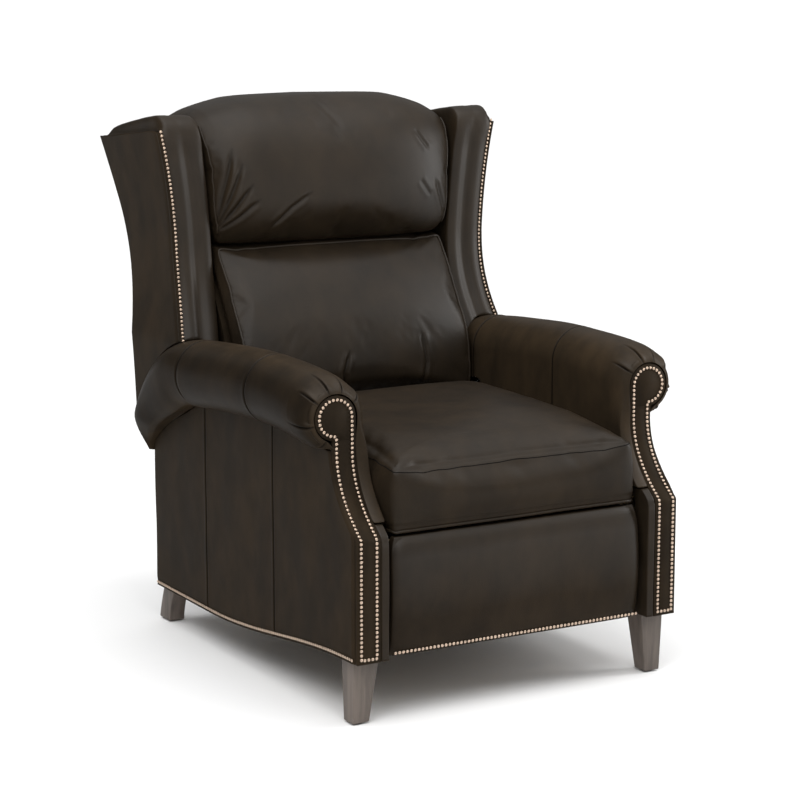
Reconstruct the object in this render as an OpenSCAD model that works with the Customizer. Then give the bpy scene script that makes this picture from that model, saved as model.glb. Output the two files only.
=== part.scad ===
// Wingback push-back recliner with rolled arms, keyhole arm facings and a fold-out footrest.
// Millimetres. X runs across the chair, +Y points to its back and +Z up.
// The origin is on the floor under the middle of the chair, halfway between the arm facings and
// the rear of the wings.

/* [Overall] */
// Depth from the arm facings to the rear of the wings
chair_depth = 1052; // [1030:1:1080]
// Distance between the middles of the two arm rolls
arm_spacing = 732; // [728:1:760]
// Height of the arm rolls at their crest
arm_h = 682; // [670:1:700]
// Height of the wing crown
wing_h = 1129; // [1100:1:1160]
// Height of the head cushion's crown
head_h = 1163; // [1150:1:1190]

/* [Arms] */
// Radius of the arm roll
roll_r = 71; // [66:1:71]
// Dip of the roll from its crest to the facing
roll_dip = 19; // [10:1:24]
// Radius of the round head of the keyhole facing
keyhole_r = 44; // [38:1:50]
// Width of the keyhole facing's column
column_w = 51; // [44:1:54]
// Thickness of the keyhole facing
facing_t = 8; // [6:1:10]
// How far the facing is set back at the roll
facing_setback = 94; // [80:1:104]
// Height at which the facing starts to lean back
bend_z = 372; // [360:1:390]
// Height at which the facing is upright again
neck_z = 530; // [510:1:540]
// Thickness of the outside arm panel
side_t = 10; // [8:1:11]
// Toe-in of the outside arm panel at its rear
side_toe = 12; // [6:1:14]
// Depth of the chair's base
base_depth = 921; // [915:1:935]
// Thickness of the inside arm lining
lining_t = 24; // [18:1:25]
// Height of the lower edge of the arm lining
lining_z = 395; // [385:1:402]
// Thickness of the plywood arm board
board_t = 16; // [12:1:18]
// Depth of the arm post
post_d = 40; // [32:1:46]

/* [Base and legs] */
// Thickness of the base's side rails
rail_t = 27; // [22:1:28]
// Height of the base's side rails above the floor
rail_z = 150; // [140:1:160]
// Depth of the timber rails' section
rail_h = 100; // [80:1:104]
// Thickness of the cross rails
cross_t = 22; // [18:1:26]
// Height of the front legs
front_leg_h = 130; // [120:1:135]
// Height of the lower edge of the side at the rear
rear_clear_h = 80; // [74:1:90]
// Width of a leg at the floor
leg_foot = 36.5; // [32:0.5:40]
// Width of a front leg at the top
leg_top = 54; // [46:1:56]
// Depth of a rear leg at the floor
rear_foot_d = 51; // [44:1:54]
// How far a rear leg kicks back
rear_kick = 26; // [15:1:30]
// Thickness of the glides
glide_t = 3; // [2:0.5:5]
// Depth of the corner blocks
block_d = 46; // [36:1:50]

/* [Seat] */
// Width of the seat cushion
seat_w = 574; // [560:1:576]
// Depth of the seat cushion
seat_d = 616; // [600:1:618]
// Height of the seat cushion's underside
seat_base_z = 367; // [366:1:372]
// Height of the seam round the top of the cushion
seat_seam_z = 500; // [490:1:510]
// Height of the cushion's crown
seat_crown_z = 542; // [530:1:548]
// Thickness of the seat frame's rails
seat_rail_t = 22; // [18:1:24]
// Height of the seat frame's rails
seat_rail_h = 32; // [26:1:34]
// Thickness of the seat deck
deck_t = 11; // [8:1:12]
// Number of seat springs
spring_count = 4; // [3:1:5]
// Thickness of the spring wire
spring_wire = 3.8; // [3:0.1:4.2]
// Half the width of a spring's loops
spring_swing = 24; // [18:1:27]

/* [Back] */
// Angle through which the back reclines
recline_deg = 32; // [24:1:34]
// Distance of the back's hinge from the arm facings
hinge_d = 646; // [640:1:652]
// Height of the back's hinge
hinge_z = 376; // [372:1:382]
// Distance between the noses of the wings at the waist
waist_w = 748; // [744:1:758]
// How far the wings flare out towards the top
wing_flare = 33; // [20:1:38]
// Distance from the neck joint down to the narrowest part of the wings
waist_drop = 48; // [36:1:60]
// Height over which the wings widen again below their narrowest part
waist_reach = 150; // [130:1:170]
// How far the wing noses step forward towards the arms
nose_step = 59; // [45:1:62]
// Height over which the wing noses step forward
nose_reach = 210; // [200:1:230]
// Distance of the wing noses from the arm facings
nose_d = 764; // [750:1:775]
// Thickness of the wing's padding
wing_pad_t = 76; // [60:1:80]
// Thickness of the wing's outside panel
wing_t = 8; // [6:1:9]
// Thickness of the lumbar cushion at its border
lumbar_t = 66; // [56:1:68]
// Forward bulge of the lumbar cushion
lumbar_bulge = 26; // [16:1:34]
// How far the lumbar cushion leans back over its height
lumbar_lean = 138; // [125:1:142]
// Height of the joint between lumbar and head cushions
neck_joint_z = 848; // [836:1:860]
// Forward bulge of the head cushion
head_bulge = 47; // [36:1:52]
// Thickness of the outside back
outback_t = 12; // [8:1:14]
// Thickness of the plywood back sides
ply_t = 22; // [16:1:22]

/* [Footrest] */
// Width of the footrest's padding
rest_w = 580; // [560:1:584]
// Height of the footrest when it is folded
rest_h = 229; // [215:1:230]
// Thickness of the footrest's padding
rest_pad_t = 30; // [24:1:32]
// Thickness of the footrest's board
rest_board_t = 15; // [12:1:15]
// Distance from a link's middle pivot to its end pivot
half_link = 100; // [98:1:103]
// Width of a link
link_w = 19; // [16:1:20]
// Angle of the rear links when folded
fold_a = 82; // [81:0.5:82.5]
// Angle of the cross links when folded
fold_b = 86; // [85.5:0.5:86.5]
// Radius of the torque tube
tube_r = 8; // [6:0.5:9]

/* [Steel parts] */
// Distance of the base plates from the middle of the chair
plate_x = 303; // [302:0.5:304]
// Thickness of the steel plates and links
plate_t = 3; // [2.5:0.1:3]
// Gap between neighbouring layers of plate
layer_gap = 2; // [2:0.1:2.5]
// Radius of the link rivets
rivet_r = 4; // [3:0.5:5]
// Thickness of a rivet head
head_t = 1.2; // [1:0.1:1.3]
// Radius of the hinge stud of the back
hinge_r = 8; // [6:1:9]
// Radius of the seat's slide studs and drive pins
stud_r = 6; // [5:0.5:7]
// Length of the arm that drives the seat
drive_arm = 110; // [100:1:114]

/* [Clearances] */
// Running clearance of a pin in its hole
run_gap = 0.1; // [0.05:0.01:0.1]
// Clearance where a linkage is closed by a loose pin
loose_gap = 0.3; // [0.2:0.05:0.4]
// Clearance between upholstered pieces that move past each other
pad_gap = 5; // [4:0.5:6]
// Clearance between pieces that are fastened together
fit_gap = 0.3; // [0.2:0.1:0.4]

/* [Hidden] */

overrun = 1;
fine = 64;
leather = [0.20, 0.18, 0.165];
timber = [0.72, 0.58, 0.42];
leg_wood = [0.40, 0.35, 0.31];
steel = [0.35, 0.36, 0.38];
lining_cloth = [0.12, 0.12, 0.12];

// Small helpers
function clamp01(t) = max(0, min(1, t));
function ease(t) = 0.5 - 0.5 * cos(180 * clamp01(t));
function mix(a, b, t) = a + (b - a) * t;

// Side outline of the base
front_y = -chair_depth / 2;
base_rear_y = front_y + base_depth;
hinge_y = front_y + hinge_d;
arm_x = arm_spacing / 2;
arm_inner = arm_x - roll_r - overrun;
facing_y = front_y + facing_setback;
crest_share = 0.536;
crest_y = mix(front_y, hinge_y, crest_share);
rear_dip_share = 0.8;
lean_power = 2.1;
lean_steps = 12;

function lean_y(z) =
    front_y + facing_setback * (1 - pow(1 - clamp01((z - bend_z) / (neck_z - bend_z)), lean_power));
lean_z = [for (i = [0 : lean_steps]) mix(bend_z, neck_z, i / lean_steps)];

// Height of the arm roll's middle line
function roll_z(y) = arm_h - roll_r
    - (y < crest_y
        ? roll_dip * pow((crest_y - y) / (crest_y - facing_y), 2)
        : rear_dip_share * roll_dip * pow((y - crest_y) / (hinge_y - crest_y), 2));
under_share = 0.9;
function under_z(y) = roll_z(y) - under_share * roll_r;

// The rear of the roll is an arc about the back's hinge
arc_outer = roll_z(hinge_y) - hinge_z + roll_r;
arc_inner = arc_outer - (1 + under_share) * roll_r;
arc_start = 25;
arc_end = 84;
arc_tip_share = 0.183;
arc_power = 2.2;
function arc_in(a) = mix(arc_inner, arc_outer - arc_tip_share * roll_r,
    pow(clamp01((a - arc_start) / (arc_end - arc_start)), arc_power));
function about_hinge(r, a) = [hinge_y + r * sin(a), hinge_z + r * cos(a)];

// Layers of plate between the arms, counted outwards from the footrest's brackets
layer_step = plate_t + layer_gap;
function layer_x(n) = plate_x - n * layer_step;
bracket_x = layer_x(2) - layer_gap - plate_t / 4;
rail_x = plate_x + plate_t + fit_gap;
board_x = rail_x + rail_t + fit_gap;

// Profiles drawn from the side and set across the chair
module across(x, t) {
    translate([x, 0, 0]) rotate([90, 0, 90]) linear_extrude(t) children();
}
// Profiles drawn from the front and set along the chair
module along(y, t) {
    translate([0, y + t, 0]) rotate([90, 0, 0]) linear_extrude(t) children();
}
module left_hand() {
    mirror([1, 0, 0]) children();
}
module pin(x, y, z, r, l) {
    translate([x, y, z]) rotate([0, 90, 0]) cylinder(r = r, h = l, $fn = fine);
}
module slab(x, y, z, dx, dy, dz) {
    translate([x, y, z]) cube([dx, dy, dz]);
}

// Padded body between two grids of points
module padded(front, back) {
    m = len(front);
    n = len(front[0]);
    points = concat([for (row = front) for (p = row) p], [for (row = back) for (p = row) p]);
    b = m * n;
    skin = [for (k = [0 : m - 2]) for (j = [0 : n - 2]) for (f = [
        [k * n + j, k * n + j + 1, k * n + n + j + 1],
        [k * n + j, k * n + n + j + 1, k * n + n + j],
        [b + k * n + j, b + k * n + n + j + 1, b + k * n + j + 1],
        [b + k * n + j, b + k * n + n + j, b + k * n + n + j + 1]]) f];
    low = [for (j = [0 : n - 2]) for (f = [[j + 1, j, b + j], [j + 1, b + j, b + j + 1]]) f];
    t = (m - 1) * n;
    high = [for (j = [0 : n - 2]) for (f = [
        [t + j, t + j + 1, b + t + j + 1], [t + j, b + t + j + 1, b + t + j]]) f];
    first = [for (k = [0 : m - 2]) for (f = [
        [k * n, k * n + n, b + k * n + n], [k * n, b + k * n + n, b + k * n]]) f];
    last = [for (k = [0 : m - 2]) for (f = [
        [k * n + n + n - 1, k * n + n - 1, b + k * n + n - 1],
        [k * n + n + n - 1, b + k * n + n - 1, b + k * n + n + n - 1]]) f];
    polyhedron(points = points, faces = concat(skin, low, high, first, last));
}

// Body drawn through a row of closed rings
module ringed(rings) {
    m = len(rings);
    n = len(rings[0]);
    t = (m - 1) * n;
    skin = [for (k = [0 : m - 2]) for (j = [0 : n - 1]) for (f = [
        [k * n + j, k * n + (j + 1) % n, k * n + n + (j + 1) % n],
        [k * n + j, k * n + n + (j + 1) % n, k * n + n + j]]) f];
    start = [for (j = [1 : n - 2]) [0, j + 1, j]];
    finish = [for (j = [1 : n - 2]) [t, t + j, t + j + 1]];
    polyhedron(points = [for (r = rings) for (p = r) p], faces = concat(skin, start, finish));
}

// Lower edge of the side, an ogee that drops from the front leg to the rear
ogee_steps = 24;
ogee_front = front_y + facing_t;
ogee_rear = hinge_y - facing_t;
function hem_z(y) = mix(front_leg_h, rear_clear_h, ease((y - ogee_front) / (ogee_rear - ogee_front)));

function lean_edge(d, low, high) = concat(
    [[lean_y(low) + d, low]], [for (z = lean_z) if (z > low && z < high) [lean_y(z) + d, z]],
    [[lean_y(high) + d, high]]);
function reversed(v) = [for (i = [len(v) - 1 : -1 : 0]) v[i]];
function under_edge(from, drop) = concat(
    [for (i = [0 : ogee_steps]) let (y = mix(from, hinge_y, i / ogee_steps))
        [y, under_z(y) - drop]],
    [for (a = [arc_start / 2 : (arc_end - arc_start / 2) / ogee_steps : arc_end])
        about_hinge(arc_in(a) - drop, a)]);

module facing_band(d, t) {
    polygon(concat(lean_edge(d, 0, arm_h), reversed(lean_edge(d + t, 0, arm_h))));
}
module arm_facing() {
    color(leather) intersection() {
        along(front_y - overrun, chair_depth) union() {
            translate([arm_x, roll_z(facing_y)]) circle(r = keyhole_r, $fn = fine * 1.5);
            translate([arm_x - keyhole_r, front_leg_h])
                square([column_w, roll_z(facing_y) - front_leg_h]);
        }
        across(0, arm_spacing) facing_band(0, facing_t);
    }
}
module arm_facing_right() arm_facing();
module arm_facing_left() left_hand() arm_facing();

facing_back = facing_t + fit_gap;
post_x = rail_x - plate_t;
toe_room = side_toe / 6;
post_outer = arm_x - toe_room;
lining_x = arm_inner - overrun + fit_gap;
lining_outer = lining_x + lining_t;
top_gap = fit_gap * 3;
post_top = under_z(facing_y) - top_gap;
module arm_post() {
    color(timber) intersection() {
        along(front_y - overrun, chair_depth) polygon([
            [post_x, front_leg_h], [post_outer, front_leg_h],
            [post_outer, post_top], [lining_outer + fit_gap, post_top],
            [lining_outer + fit_gap, lining_z - fit_gap], [post_x, lining_z - fit_gap]]);
        across(0, arm_spacing) facing_band(facing_back, post_d);
    }
}
module arm_post_right() arm_post();
module arm_post_left() left_hand() arm_post();

// Outside arm panel, flat, toed in towards the rear, with the ogee along its lower edge
module arm_panel() {
    color(leather) intersection() {
        linear_extrude(arm_h) polygon([
            [arm_x, front_y], [arm_x + side_toe, front_y],
            [arm_x, base_rear_y + overrun], [arm_x - side_t, base_rear_y + overrun]]);
        across(0, arm_spacing) polygon(concat(
            lean_edge(facing_back, front_leg_h, post_top),
            under_edge(facing_y + facing_back + fit_gap, top_gap),
            [[base_rear_y, hinge_z + facing_t], [base_rear_y, rear_clear_h]],
            [for (i = [ogee_steps : -1 : 1]) let (y = mix(ogee_front, ogee_rear, i / ogee_steps))
                [y, hem_z(y)]]));
    }
}
module arm_panel_right() arm_panel();
module arm_panel_left() left_hand() arm_panel();

lining_rear_y = hinge_y - lining_t - plate_t;
module arm_lining() {
    color(leather) across(lining_x, lining_t) polygon(concat(
        lean_edge(facing_back, lining_z, post_top),
        [for (i = [0 : ogee_steps])
            let (y = mix(facing_y + facing_back + fit_gap, lining_rear_y, i / ogee_steps))
            [y, under_z(y) - top_gap]],
        [[lining_rear_y, lining_z]]));
}
module arm_lining_right() arm_lining();
module arm_lining_left() left_hand() arm_lining();

board_z = rail_z + rail_h / 3;
board_rear_y = hinge_y + hinge_r * 6;
module arm_board() {
    color(timber) across(board_x, board_t) polygon(concat(
        lean_edge(facing_back + post_d + fit_gap, board_z, post_top - overrun),
        [for (i = [1 : ogee_steps])
            let (y = mix(facing_y + facing_back + post_d + overrun, hinge_y, i / ogee_steps))
            [y, under_z(y) - top_gap]],
        [[board_rear_y, hinge_z + rail_h], [board_rear_y, board_z]]));
}
module arm_board_right() arm_board();
module arm_board_left() left_hand() arm_board();

// Arm roll: pleated down to the facing in front, running down an arc at the rear,
// where its outer side is fuller than the part that the wing passes over
ring_angles = [-64, -46, -28, -10, 8, 26, 44, 60, 75, 90, 105, 120, 136, 152, 168, 180];
function roll_ring(r_across, r_up) = concat(
    [for (a = ring_angles) [r_across * cos(a), a < -60 ? -under_share * r_up : r_up * sin(a)]],
    [[-r_across, -under_share * r_up]]);
pleat_shares = [[0, 0.70], [0.10, 0.86], [0.28, 0.96], [0.5, 1]];
tip_share = 0.62;
arc_steps = 12;
tail_swell_share = 0.45;
tail_side_share = 0.72;
function tail_swell(t, s) = roll_r * tail_swell_share * t * t * (1 - pow(t, 8))
    * clamp01((s - tail_side_share) / (1 - tail_side_share));
module arm_pad() {
    first_y = facing_y + facing_back;
    front_rings = [for (s = pleat_shares) let (y = first_y + s[0] * roll_r)
        [for (q = roll_ring(roll_r * s[1], roll_r * s[1])) [arm_x + q[0], y, roll_z(y)
            + max(q[1], -under_share * roll_r)]]];
    mid_rings = [for (i = [1 : 8]) let (y = mix(first_y + roll_r / 2, hinge_y, i / 8))
        [for (q = roll_ring(roll_r, roll_r)) [arm_x + q[0], y, roll_z(y) + q[1]]]];
    rear_rings = [for (i = [1 : arc_steps]) let (
        a = arc_end * i / arc_steps,
        t = clamp01((a - arc_start) / (arc_end - arc_start)),
        half = (arc_outer - arc_in(a)) / (1 + under_share),
        wide = roll_r * mix(1, tip_share, pow(t, 1.4)))
        [for (q = roll_ring(wide, half)) let (
            c = about_hinge(arc_outer - half + q[1] + tail_swell(t, q[0] / wide), a))
            [arm_x + q[0], c[0], c[1]]]];
    color(leather) ringed(concat(front_rings, mid_rings, rear_rings));
}
module arm_pad_right() arm_pad();
module arm_pad_left() left_hand() arm_pad();

rail_front_y = front_y + facing_back + post_d + fit_gap;
rear_panel_y = base_rear_y - outback_t;
rear_rail_y = rear_panel_y - fit_gap - cross_t;
module side_rail() {
    color(timber) slab(rail_x, rail_front_y, rail_z, rail_t, rear_rail_y - fit_gap - rail_front_y, rail_h);
}
module side_rail_right() side_rail();
module side_rail_left() left_hand() side_rail();

module rear_rail() {
    color(timber) slab(-board_x, rear_rail_y, rail_z - rail_t, 2 * board_x, cross_t, rail_h);
}
module rear_panel() {
    w = arm_x - side_t - 3 * fit_gap;
    low = hinge_z - rail_h * 1.08;
    ear = hinge_z + facing_t * 2;
    half = [[0, rear_clear_h], [w, rear_clear_h], [w, ear], [lining_x, ear], [lining_x, low], [0, low]];
    color(leather) along(rear_panel_y, outback_t)
        polygon(concat(half, [for (p = reversed(half)) [-p[0], p[1]]]));
}
stretcher_y = hinge_y - hinge_d / 1.4;
module front_stretcher() {
    w = rail_x - fit_gap + rail_t;
    color(timber) slab(-w, stretcher_y, front_leg_h, 2 * w, cross_t, rail_z - front_leg_h - fit_gap);
}

front_block_h = board_z - front_leg_h - 2 * fit_gap;
rear_block_y = rear_rail_y - fit_gap - block_d;
block_w = arm_x - board_x - toe_room;
module corner_block_pair() {
    slab(board_x, rail_front_y, front_leg_h + fit_gap, block_w, block_d, front_block_h);
    slab(board_x, rear_block_y, rear_clear_h, block_w - side_t + toe_room, block_d, rail_h);
}
module corner_blocks() {
    color(timber) {
        corner_block_pair();
        left_hand() corner_block_pair();
    }
}

// Legs: tapered in front, kicked back at the rear
leg_out = arm_x - toe_room;
leg_front_y = front_y + facing_setback / 2.7;
module leg_front() {
    x1 = leg_out - leg_foot;
    taper_in = leg_top - leg_foot;
    y1 = leg_front_y + leg_foot;
    color(leg_wood) polyhedron(points = [
        [x1, leg_front_y, glide_t], [leg_out, leg_front_y, glide_t],
        [leg_out, y1, glide_t], [x1, y1, glide_t],
        [x1 - taper_in, leg_front_y - facing_t, front_leg_h - fit_gap],
        [leg_out, leg_front_y - facing_t, front_leg_h - fit_gap],
        [leg_out, y1 + facing_t, front_leg_h - fit_gap],
        [x1 - taper_in, y1 + facing_t, front_leg_h - fit_gap]],
        faces = [[0, 1, 2, 3], [7, 6, 5, 4], [0, 4, 5, 1], [1, 5, 6, 2], [2, 6, 7, 3], [3, 7, 4, 0]]);
}
module leg_front_right() leg_front();
module leg_front_left() left_hand() leg_front();

rear_leg_out = arm_x - side_toe;
rear_leg_y = rear_rail_y - rear_kick / 10;
rear_leg_top = rear_clear_h - fit_gap;
kick_steps = 8;
module leg_rear() {
    color(leg_wood) across(rear_leg_out - leg_foot, leg_foot) polygon(concat(
        [for (i = [0 : kick_steps]) let (t = i / kick_steps)
            [rear_leg_y - rear_kick * pow(t, 1.6), mix(glide_t, rear_leg_top, t)]],
        [for (i = [kick_steps : -1 : 0]) let (t = i / kick_steps)
            [rear_leg_y + rear_foot_d - rear_kick * pow(t, 1.3), mix(glide_t, rear_leg_top, t)]]));
}
module leg_rear_right() leg_rear();
module leg_rear_left() left_hand() leg_rear();

glide_share = 0.32;
module leg_glides() {
    r = leg_foot * glide_share;
    color(lining_cloth) for (s = [-1, 1]) {
        translate([s * (leg_out - leg_foot / 2), leg_front_y + leg_foot / 2, 0])
            cylinder(r = r, h = glide_t, $fn = fine / 2);
        translate([s * (rear_leg_out - leg_foot / 2), rear_leg_y + rear_foot_d / 2, 0])
            cylinder(r = r, h = glide_t, $fn = fine / 2);
    }
}

// Seat slide: studs of the seat plate run in level slots of the base plate
slide_z = rail_z + rail_h * 0.65;
slide_front_y = hinge_y - drive_arm * 3.35;
slide_rear_y = hinge_y - drive_arm * 0.65;
slide_run = 2 * drive_arm * sin(recline_deg / 2);
slot_r = stud_r + run_gap;
module slot_outline(run) {
    union() {
        translate([-run, -slot_r]) square([run, 2 * slot_r]);
        circle(r = slot_r, $fn = fine / 2);
        translate([-run, 0]) circle(r = slot_r, $fn = fine / 2);
    }
}
hub_r = 2.6 * hinge_r;
module base_plate() {
    strip = rail_h * 0.3;
    color(steel) {
        across(plate_x, plate_t) difference() {
            polygon([[slide_front_y - slide_run - strip, slide_z - strip],
                [hinge_y + drive_arm / 2, slide_z - strip],
                [hinge_y + drive_arm / 2, slide_z + strip], [hinge_y + hub_r, slide_z + 2 * strip],
                [hinge_y + hub_r, hinge_z + hub_r * 0.6], [hinge_y + hub_r * 0.5, hinge_z + hub_r],
                [hinge_y - hub_r * 0.5, hinge_z + hub_r], [hinge_y - hub_r, hinge_z + hub_r * 0.6],
                [hinge_y - hub_r, slide_z + 2 * strip],
                [slide_rear_y - strip, slide_z + strip],
                [slide_front_y - slide_run - strip, slide_z + strip]]);
            translate([slide_front_y, slide_z]) slot_outline(slide_run);
            translate([slide_rear_y, slide_z]) slot_outline(slide_run);
        }
        pin(bracket_x - fit_gap, hinge_y, hinge_z, hinge_r, plate_x - bracket_x + 2 * fit_gap);
        pin(bracket_x - fit_gap - head_t, hinge_y, hinge_z, hinge_r * 1.4, head_t);
    }
}
module base_plate_right() base_plate();
module base_plate_left() left_hand() base_plate();

// Pivots of the folded footrest linkage
function dir(a) = [-cos(a), sin(a)];
link_a = half_link * dir(fold_a);
link_b = half_link * dir(-fold_b);
root = [front_y + facing_setback + half_link * 0.37, front_leg_h + stud_r * 3.33];
mid_rear = root + link_a;
top_rear = root + 2 * link_a;
low_mid = root + link_a + link_b;
mid_front = root + 2 * link_a + link_b;
top_front = root + 3 * link_a + link_b;
low_front = root + 2 * link_a + 2 * link_b;
mid_rest = root + 3 * link_a + 2 * link_b;
front_layer = [layer_x(1), layer_x(2), layer_x(3), layer_x(4), layer_x(5)];

// Seat plates carry the slide studs and the drive slot
seat_rail_z = seat_base_z - deck_t - fit_gap - spring_wire - 2 * fit_gap - seat_rail_h;
bearer_h = seat_rail_h * 0.92;
bearer_z = seat_rail_z - fit_gap - bearer_h;
bearer_front_y = front_y + seat_d * 0.27;
bearer_rear_y = front_y + seat_d * 0.92;
drive_y = hinge_y + drive_arm * sin(recline_deg / 2);
drive_z = hinge_z - drive_arm * cos(recline_deg / 2);
drive_rise = drive_arm * (1 - cos(recline_deg / 2));
drive_slot_r = stud_r + loose_gap;
module seat_plate() {
    edge = stud_r * 3;
    top = bearer_z + bearer_h;
    color(steel) {
        across(front_layer[0], plate_t) difference() {
            polygon([[root[0] - edge, root[1] - edge * 0.8], [root[0] + edge, root[1] - edge * 0.8],
                [bearer_front_y - edge, slide_z - edge], [slide_rear_y + edge, slide_z - edge],
                [drive_y + edge, drive_z - edge], [drive_y + edge, drive_z + edge],
                [bearer_rear_y + edge * 2, top], [bearer_front_y - edge, top],
                [root[0] - edge, root[1] + edge * 1.6]]);
            translate(root) circle(r = stud_r + run_gap, $fn = fine / 2);
            union() {
                translate([drive_y - drive_slot_r, drive_z - drive_rise - fit_gap])
                    square([2 * drive_slot_r, drive_rise + 2 * fit_gap]);
                translate([drive_y, drive_z - drive_rise - fit_gap])
                    circle(r = drive_slot_r, $fn = fine / 2);
                translate([drive_y, drive_z + fit_gap]) circle(r = drive_slot_r, $fn = fine / 2);
            }
        }
        for (y = [slide_front_y, slide_rear_y])
            pin(front_layer[0] + plate_t / 2, y, slide_z, stud_r, layer_step + plate_t / 2 - fit_gap);
    }
}
module seat_plate_right() seat_plate();
module seat_plate_left() left_hand() seat_plate();

frame_w = front_layer[4] - layer_gap * 2;
frame_front_y = front_y + facing_setback * 0.7;
frame_rear_y = front_y + seat_d + facing_t;
module seat_frame() {
    color(timber) {
        for (s = [-1, 1])
            slab(s * (frame_w - seat_rail_t / 2) - seat_rail_t / 2, frame_front_y, seat_rail_z,
                seat_rail_t, frame_rear_y - frame_front_y, seat_rail_h);
        for (y = [frame_front_y, frame_rear_y - seat_rail_t])
            slab(-frame_w + seat_rail_t + fit_gap, y, seat_rail_z,
                2 * (frame_w - seat_rail_t - fit_gap), seat_rail_t, seat_rail_h);
    }
}
module seat_bearers() {
    w = front_layer[0] - fit_gap;
    color(timber) for (y = [bearer_front_y, bearer_rear_y])
        slab(-w, y, bearer_z, 2 * w, seat_rail_t, bearer_h);
}

// Sinuous springs lie across the frame's end rails
spring_loops = 9;
loop_steps = 6;
loop_lean_share = 0.045;
spring_z = seat_rail_z + seat_rail_h + fit_gap;
module sinuous(run) {
    n = spring_loops * loop_steps;
    edge = [for (i = [0 : n]) let (t = 360 * spring_loops * i / n)
        [spring_swing * sin(t), run * (i / n + loop_lean_share * sin(2 * t) / spring_loops)]];
    side = [for (i = [0 : n]) let (
        d = edge[min(i + 1, n)] - edge[max(i - 1, 0)], l = norm(d)) [-d[1] / l, d[0] / l]];
    linear_extrude(spring_wire) polygon(concat(
        [for (i = [0 : n]) edge[i] + side[i] * spring_wire / 2],
        [for (i = [n : -1 : 0]) edge[i] - side[i] * spring_wire / 2]));
}
module seat_springs() {
    run = frame_rear_y - frame_front_y - seat_rail_t;
    pitch = 2 * (frame_w - seat_rail_t) / spring_count;
    color(steel) for (i = [0 : spring_count - 1])
        translate([(i - (spring_count - 1) / 2) * pitch, frame_front_y + seat_rail_t / 2, spring_z])
            sinuous(run);
}
module seat_deck() {
    z = spring_z + spring_wire + fit_gap;
    w = frame_w;
    color(lining_cloth) slab(-w, frame_front_y, z, 2 * w, frame_rear_y - frame_front_y, deck_t - fit_gap);
}

// Seat cushion: crowned top, piped lower edge, drawn-in border
cushion_front_y = front_y + facing_t * 1.9;
grid = [-1, -0.97, -0.86, -0.7, -0.5, -0.28, 0, 0.28, 0.5, 0.7, 0.86, 0.97, 1];
grid_last = len(grid) - 1;
function rim(i, j) = min(i, j, grid_last - i, grid_last - j);
function seam_rise(t) = mix(seat_seam_z, seat_crown_z - facing_t / 2, 1 - pow(1 - clamp01(t), 2.4));
function cushion_top(u, v, i, j) = let (
    t = (v + 1) / 2,
    seam = seam_rise(1.25 * t),
    crown = (1 - pow(abs(u), 3.4)) * (1 - pow(abs(v), 5)),
    top = mix(seam, max(seam, seat_crown_z), crown))
    rim(i, j) == 0 ? mix(seat_base_z, seam, 0.6) : rim(i, j) == 1 ? seam - overrun : top;
base_share = 0.99;
function draw_in(i, j) = rim(i, j) == 0 ? 1 : 0.994;
function cushion_y(v) = cushion_front_y + (seat_d - facing_t * 2) * (v + 1) / 2;
module seat_cushion() {
    top = [for (i = [0 : grid_last]) [for (j = [0 : grid_last]) let (
        u = grid[j], v = grid[i], w = seat_w / 2)
        [w * u * draw_in(i, j), cushion_y(v * draw_in(i, j)), cushion_top(u, v, i, j)]]];
    base = [for (i = [0 : grid_last]) [for (j = [0 : grid_last]) let (
        u = grid[j], v = grid[i], w = seat_w / 2)
        [w * u * base_share, cushion_y(v * base_share), seat_base_z]]];
    color(leather) padded(reversed(top), reversed(base));
}

// Footrest linkage
module bar(p, q, w) {
    l = norm(q - p);
    translate(p) rotate(atan2(q[1] - p[1], q[0] - p[0])) union() {
        translate([0, -w / 2]) square([l, w]);
        circle(r = w / 2, $fn = fine / 2);
        translate([l, 0]) circle(r = w / 2, $fn = fine / 2);
    }
}
module hole(p, r) {
    translate(p) circle(r = r, $fn = fine / 2);
}
// A rivet stands on its own link and holds the next link inwards
module rivet(x, p) {
    head_x = x - layer_step - fit_gap - head_t;
    pin(head_x, p[0], p[1], rivet_r * 1.6, head_t);
    pin(head_x + head_t / 2, p[0], p[1], rivet_r, x + plate_t / 2 - head_x - head_t / 2);
}
hole_r = rivet_r + run_gap;
loose_r = rivet_r + loose_gap;
module rear_link() {
    x = front_layer[1];
    color(steel) {
        across(x, plate_t) bar(root, top_rear, link_w);
        rivet(x, mid_rear);
        rivet(x, top_rear);
        pin(x + plate_t / 2, root[0], root[1], stud_r, layer_step + plate_t / 2 + fit_gap + head_t);
        pin(x + layer_step + plate_t + fit_gap, root[0], root[1], stud_r * 1.4, head_t);
    }
}
module rear_link_right() rear_link();
module rear_link_left() left_hand() rear_link();
module torque_tube() {
    w = front_layer[1] - fit_gap;
    color(steel) pin(-w, root[0], root[1], tube_r, 2 * w);
}
module cross_link() {
    x = front_layer[2];
    color(steel) {
        across(x, plate_t) difference() {
            bar(mid_rear, low_mid, link_w);
            hole(mid_rear, hole_r);
        }
        rivet(x, low_mid);
    }
}
module cross_link_right() cross_link();
module cross_link_left() left_hand() cross_link();
module long_link() {
    x = front_layer[2];
    color(steel) {
        across(x, plate_t) difference() {
            bar(top_rear, low_front, link_w);
            hole(top_rear, loose_r);
        }
        rivet(x, mid_front);
        rivet(x, low_front);
    }
}
module long_link_right() long_link();
module long_link_left() left_hand() long_link();
module front_link() {
    x = front_layer[3];
    color(steel) {
        across(x, plate_t) difference() {
            bar(low_mid, top_front, link_w);
            hole(low_mid, hole_r);
            hole(mid_front, hole_r);
        }
        rivet(x, top_front);
    }
}
module front_link_right() front_link();
module front_link_left() left_hand() front_link();
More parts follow.
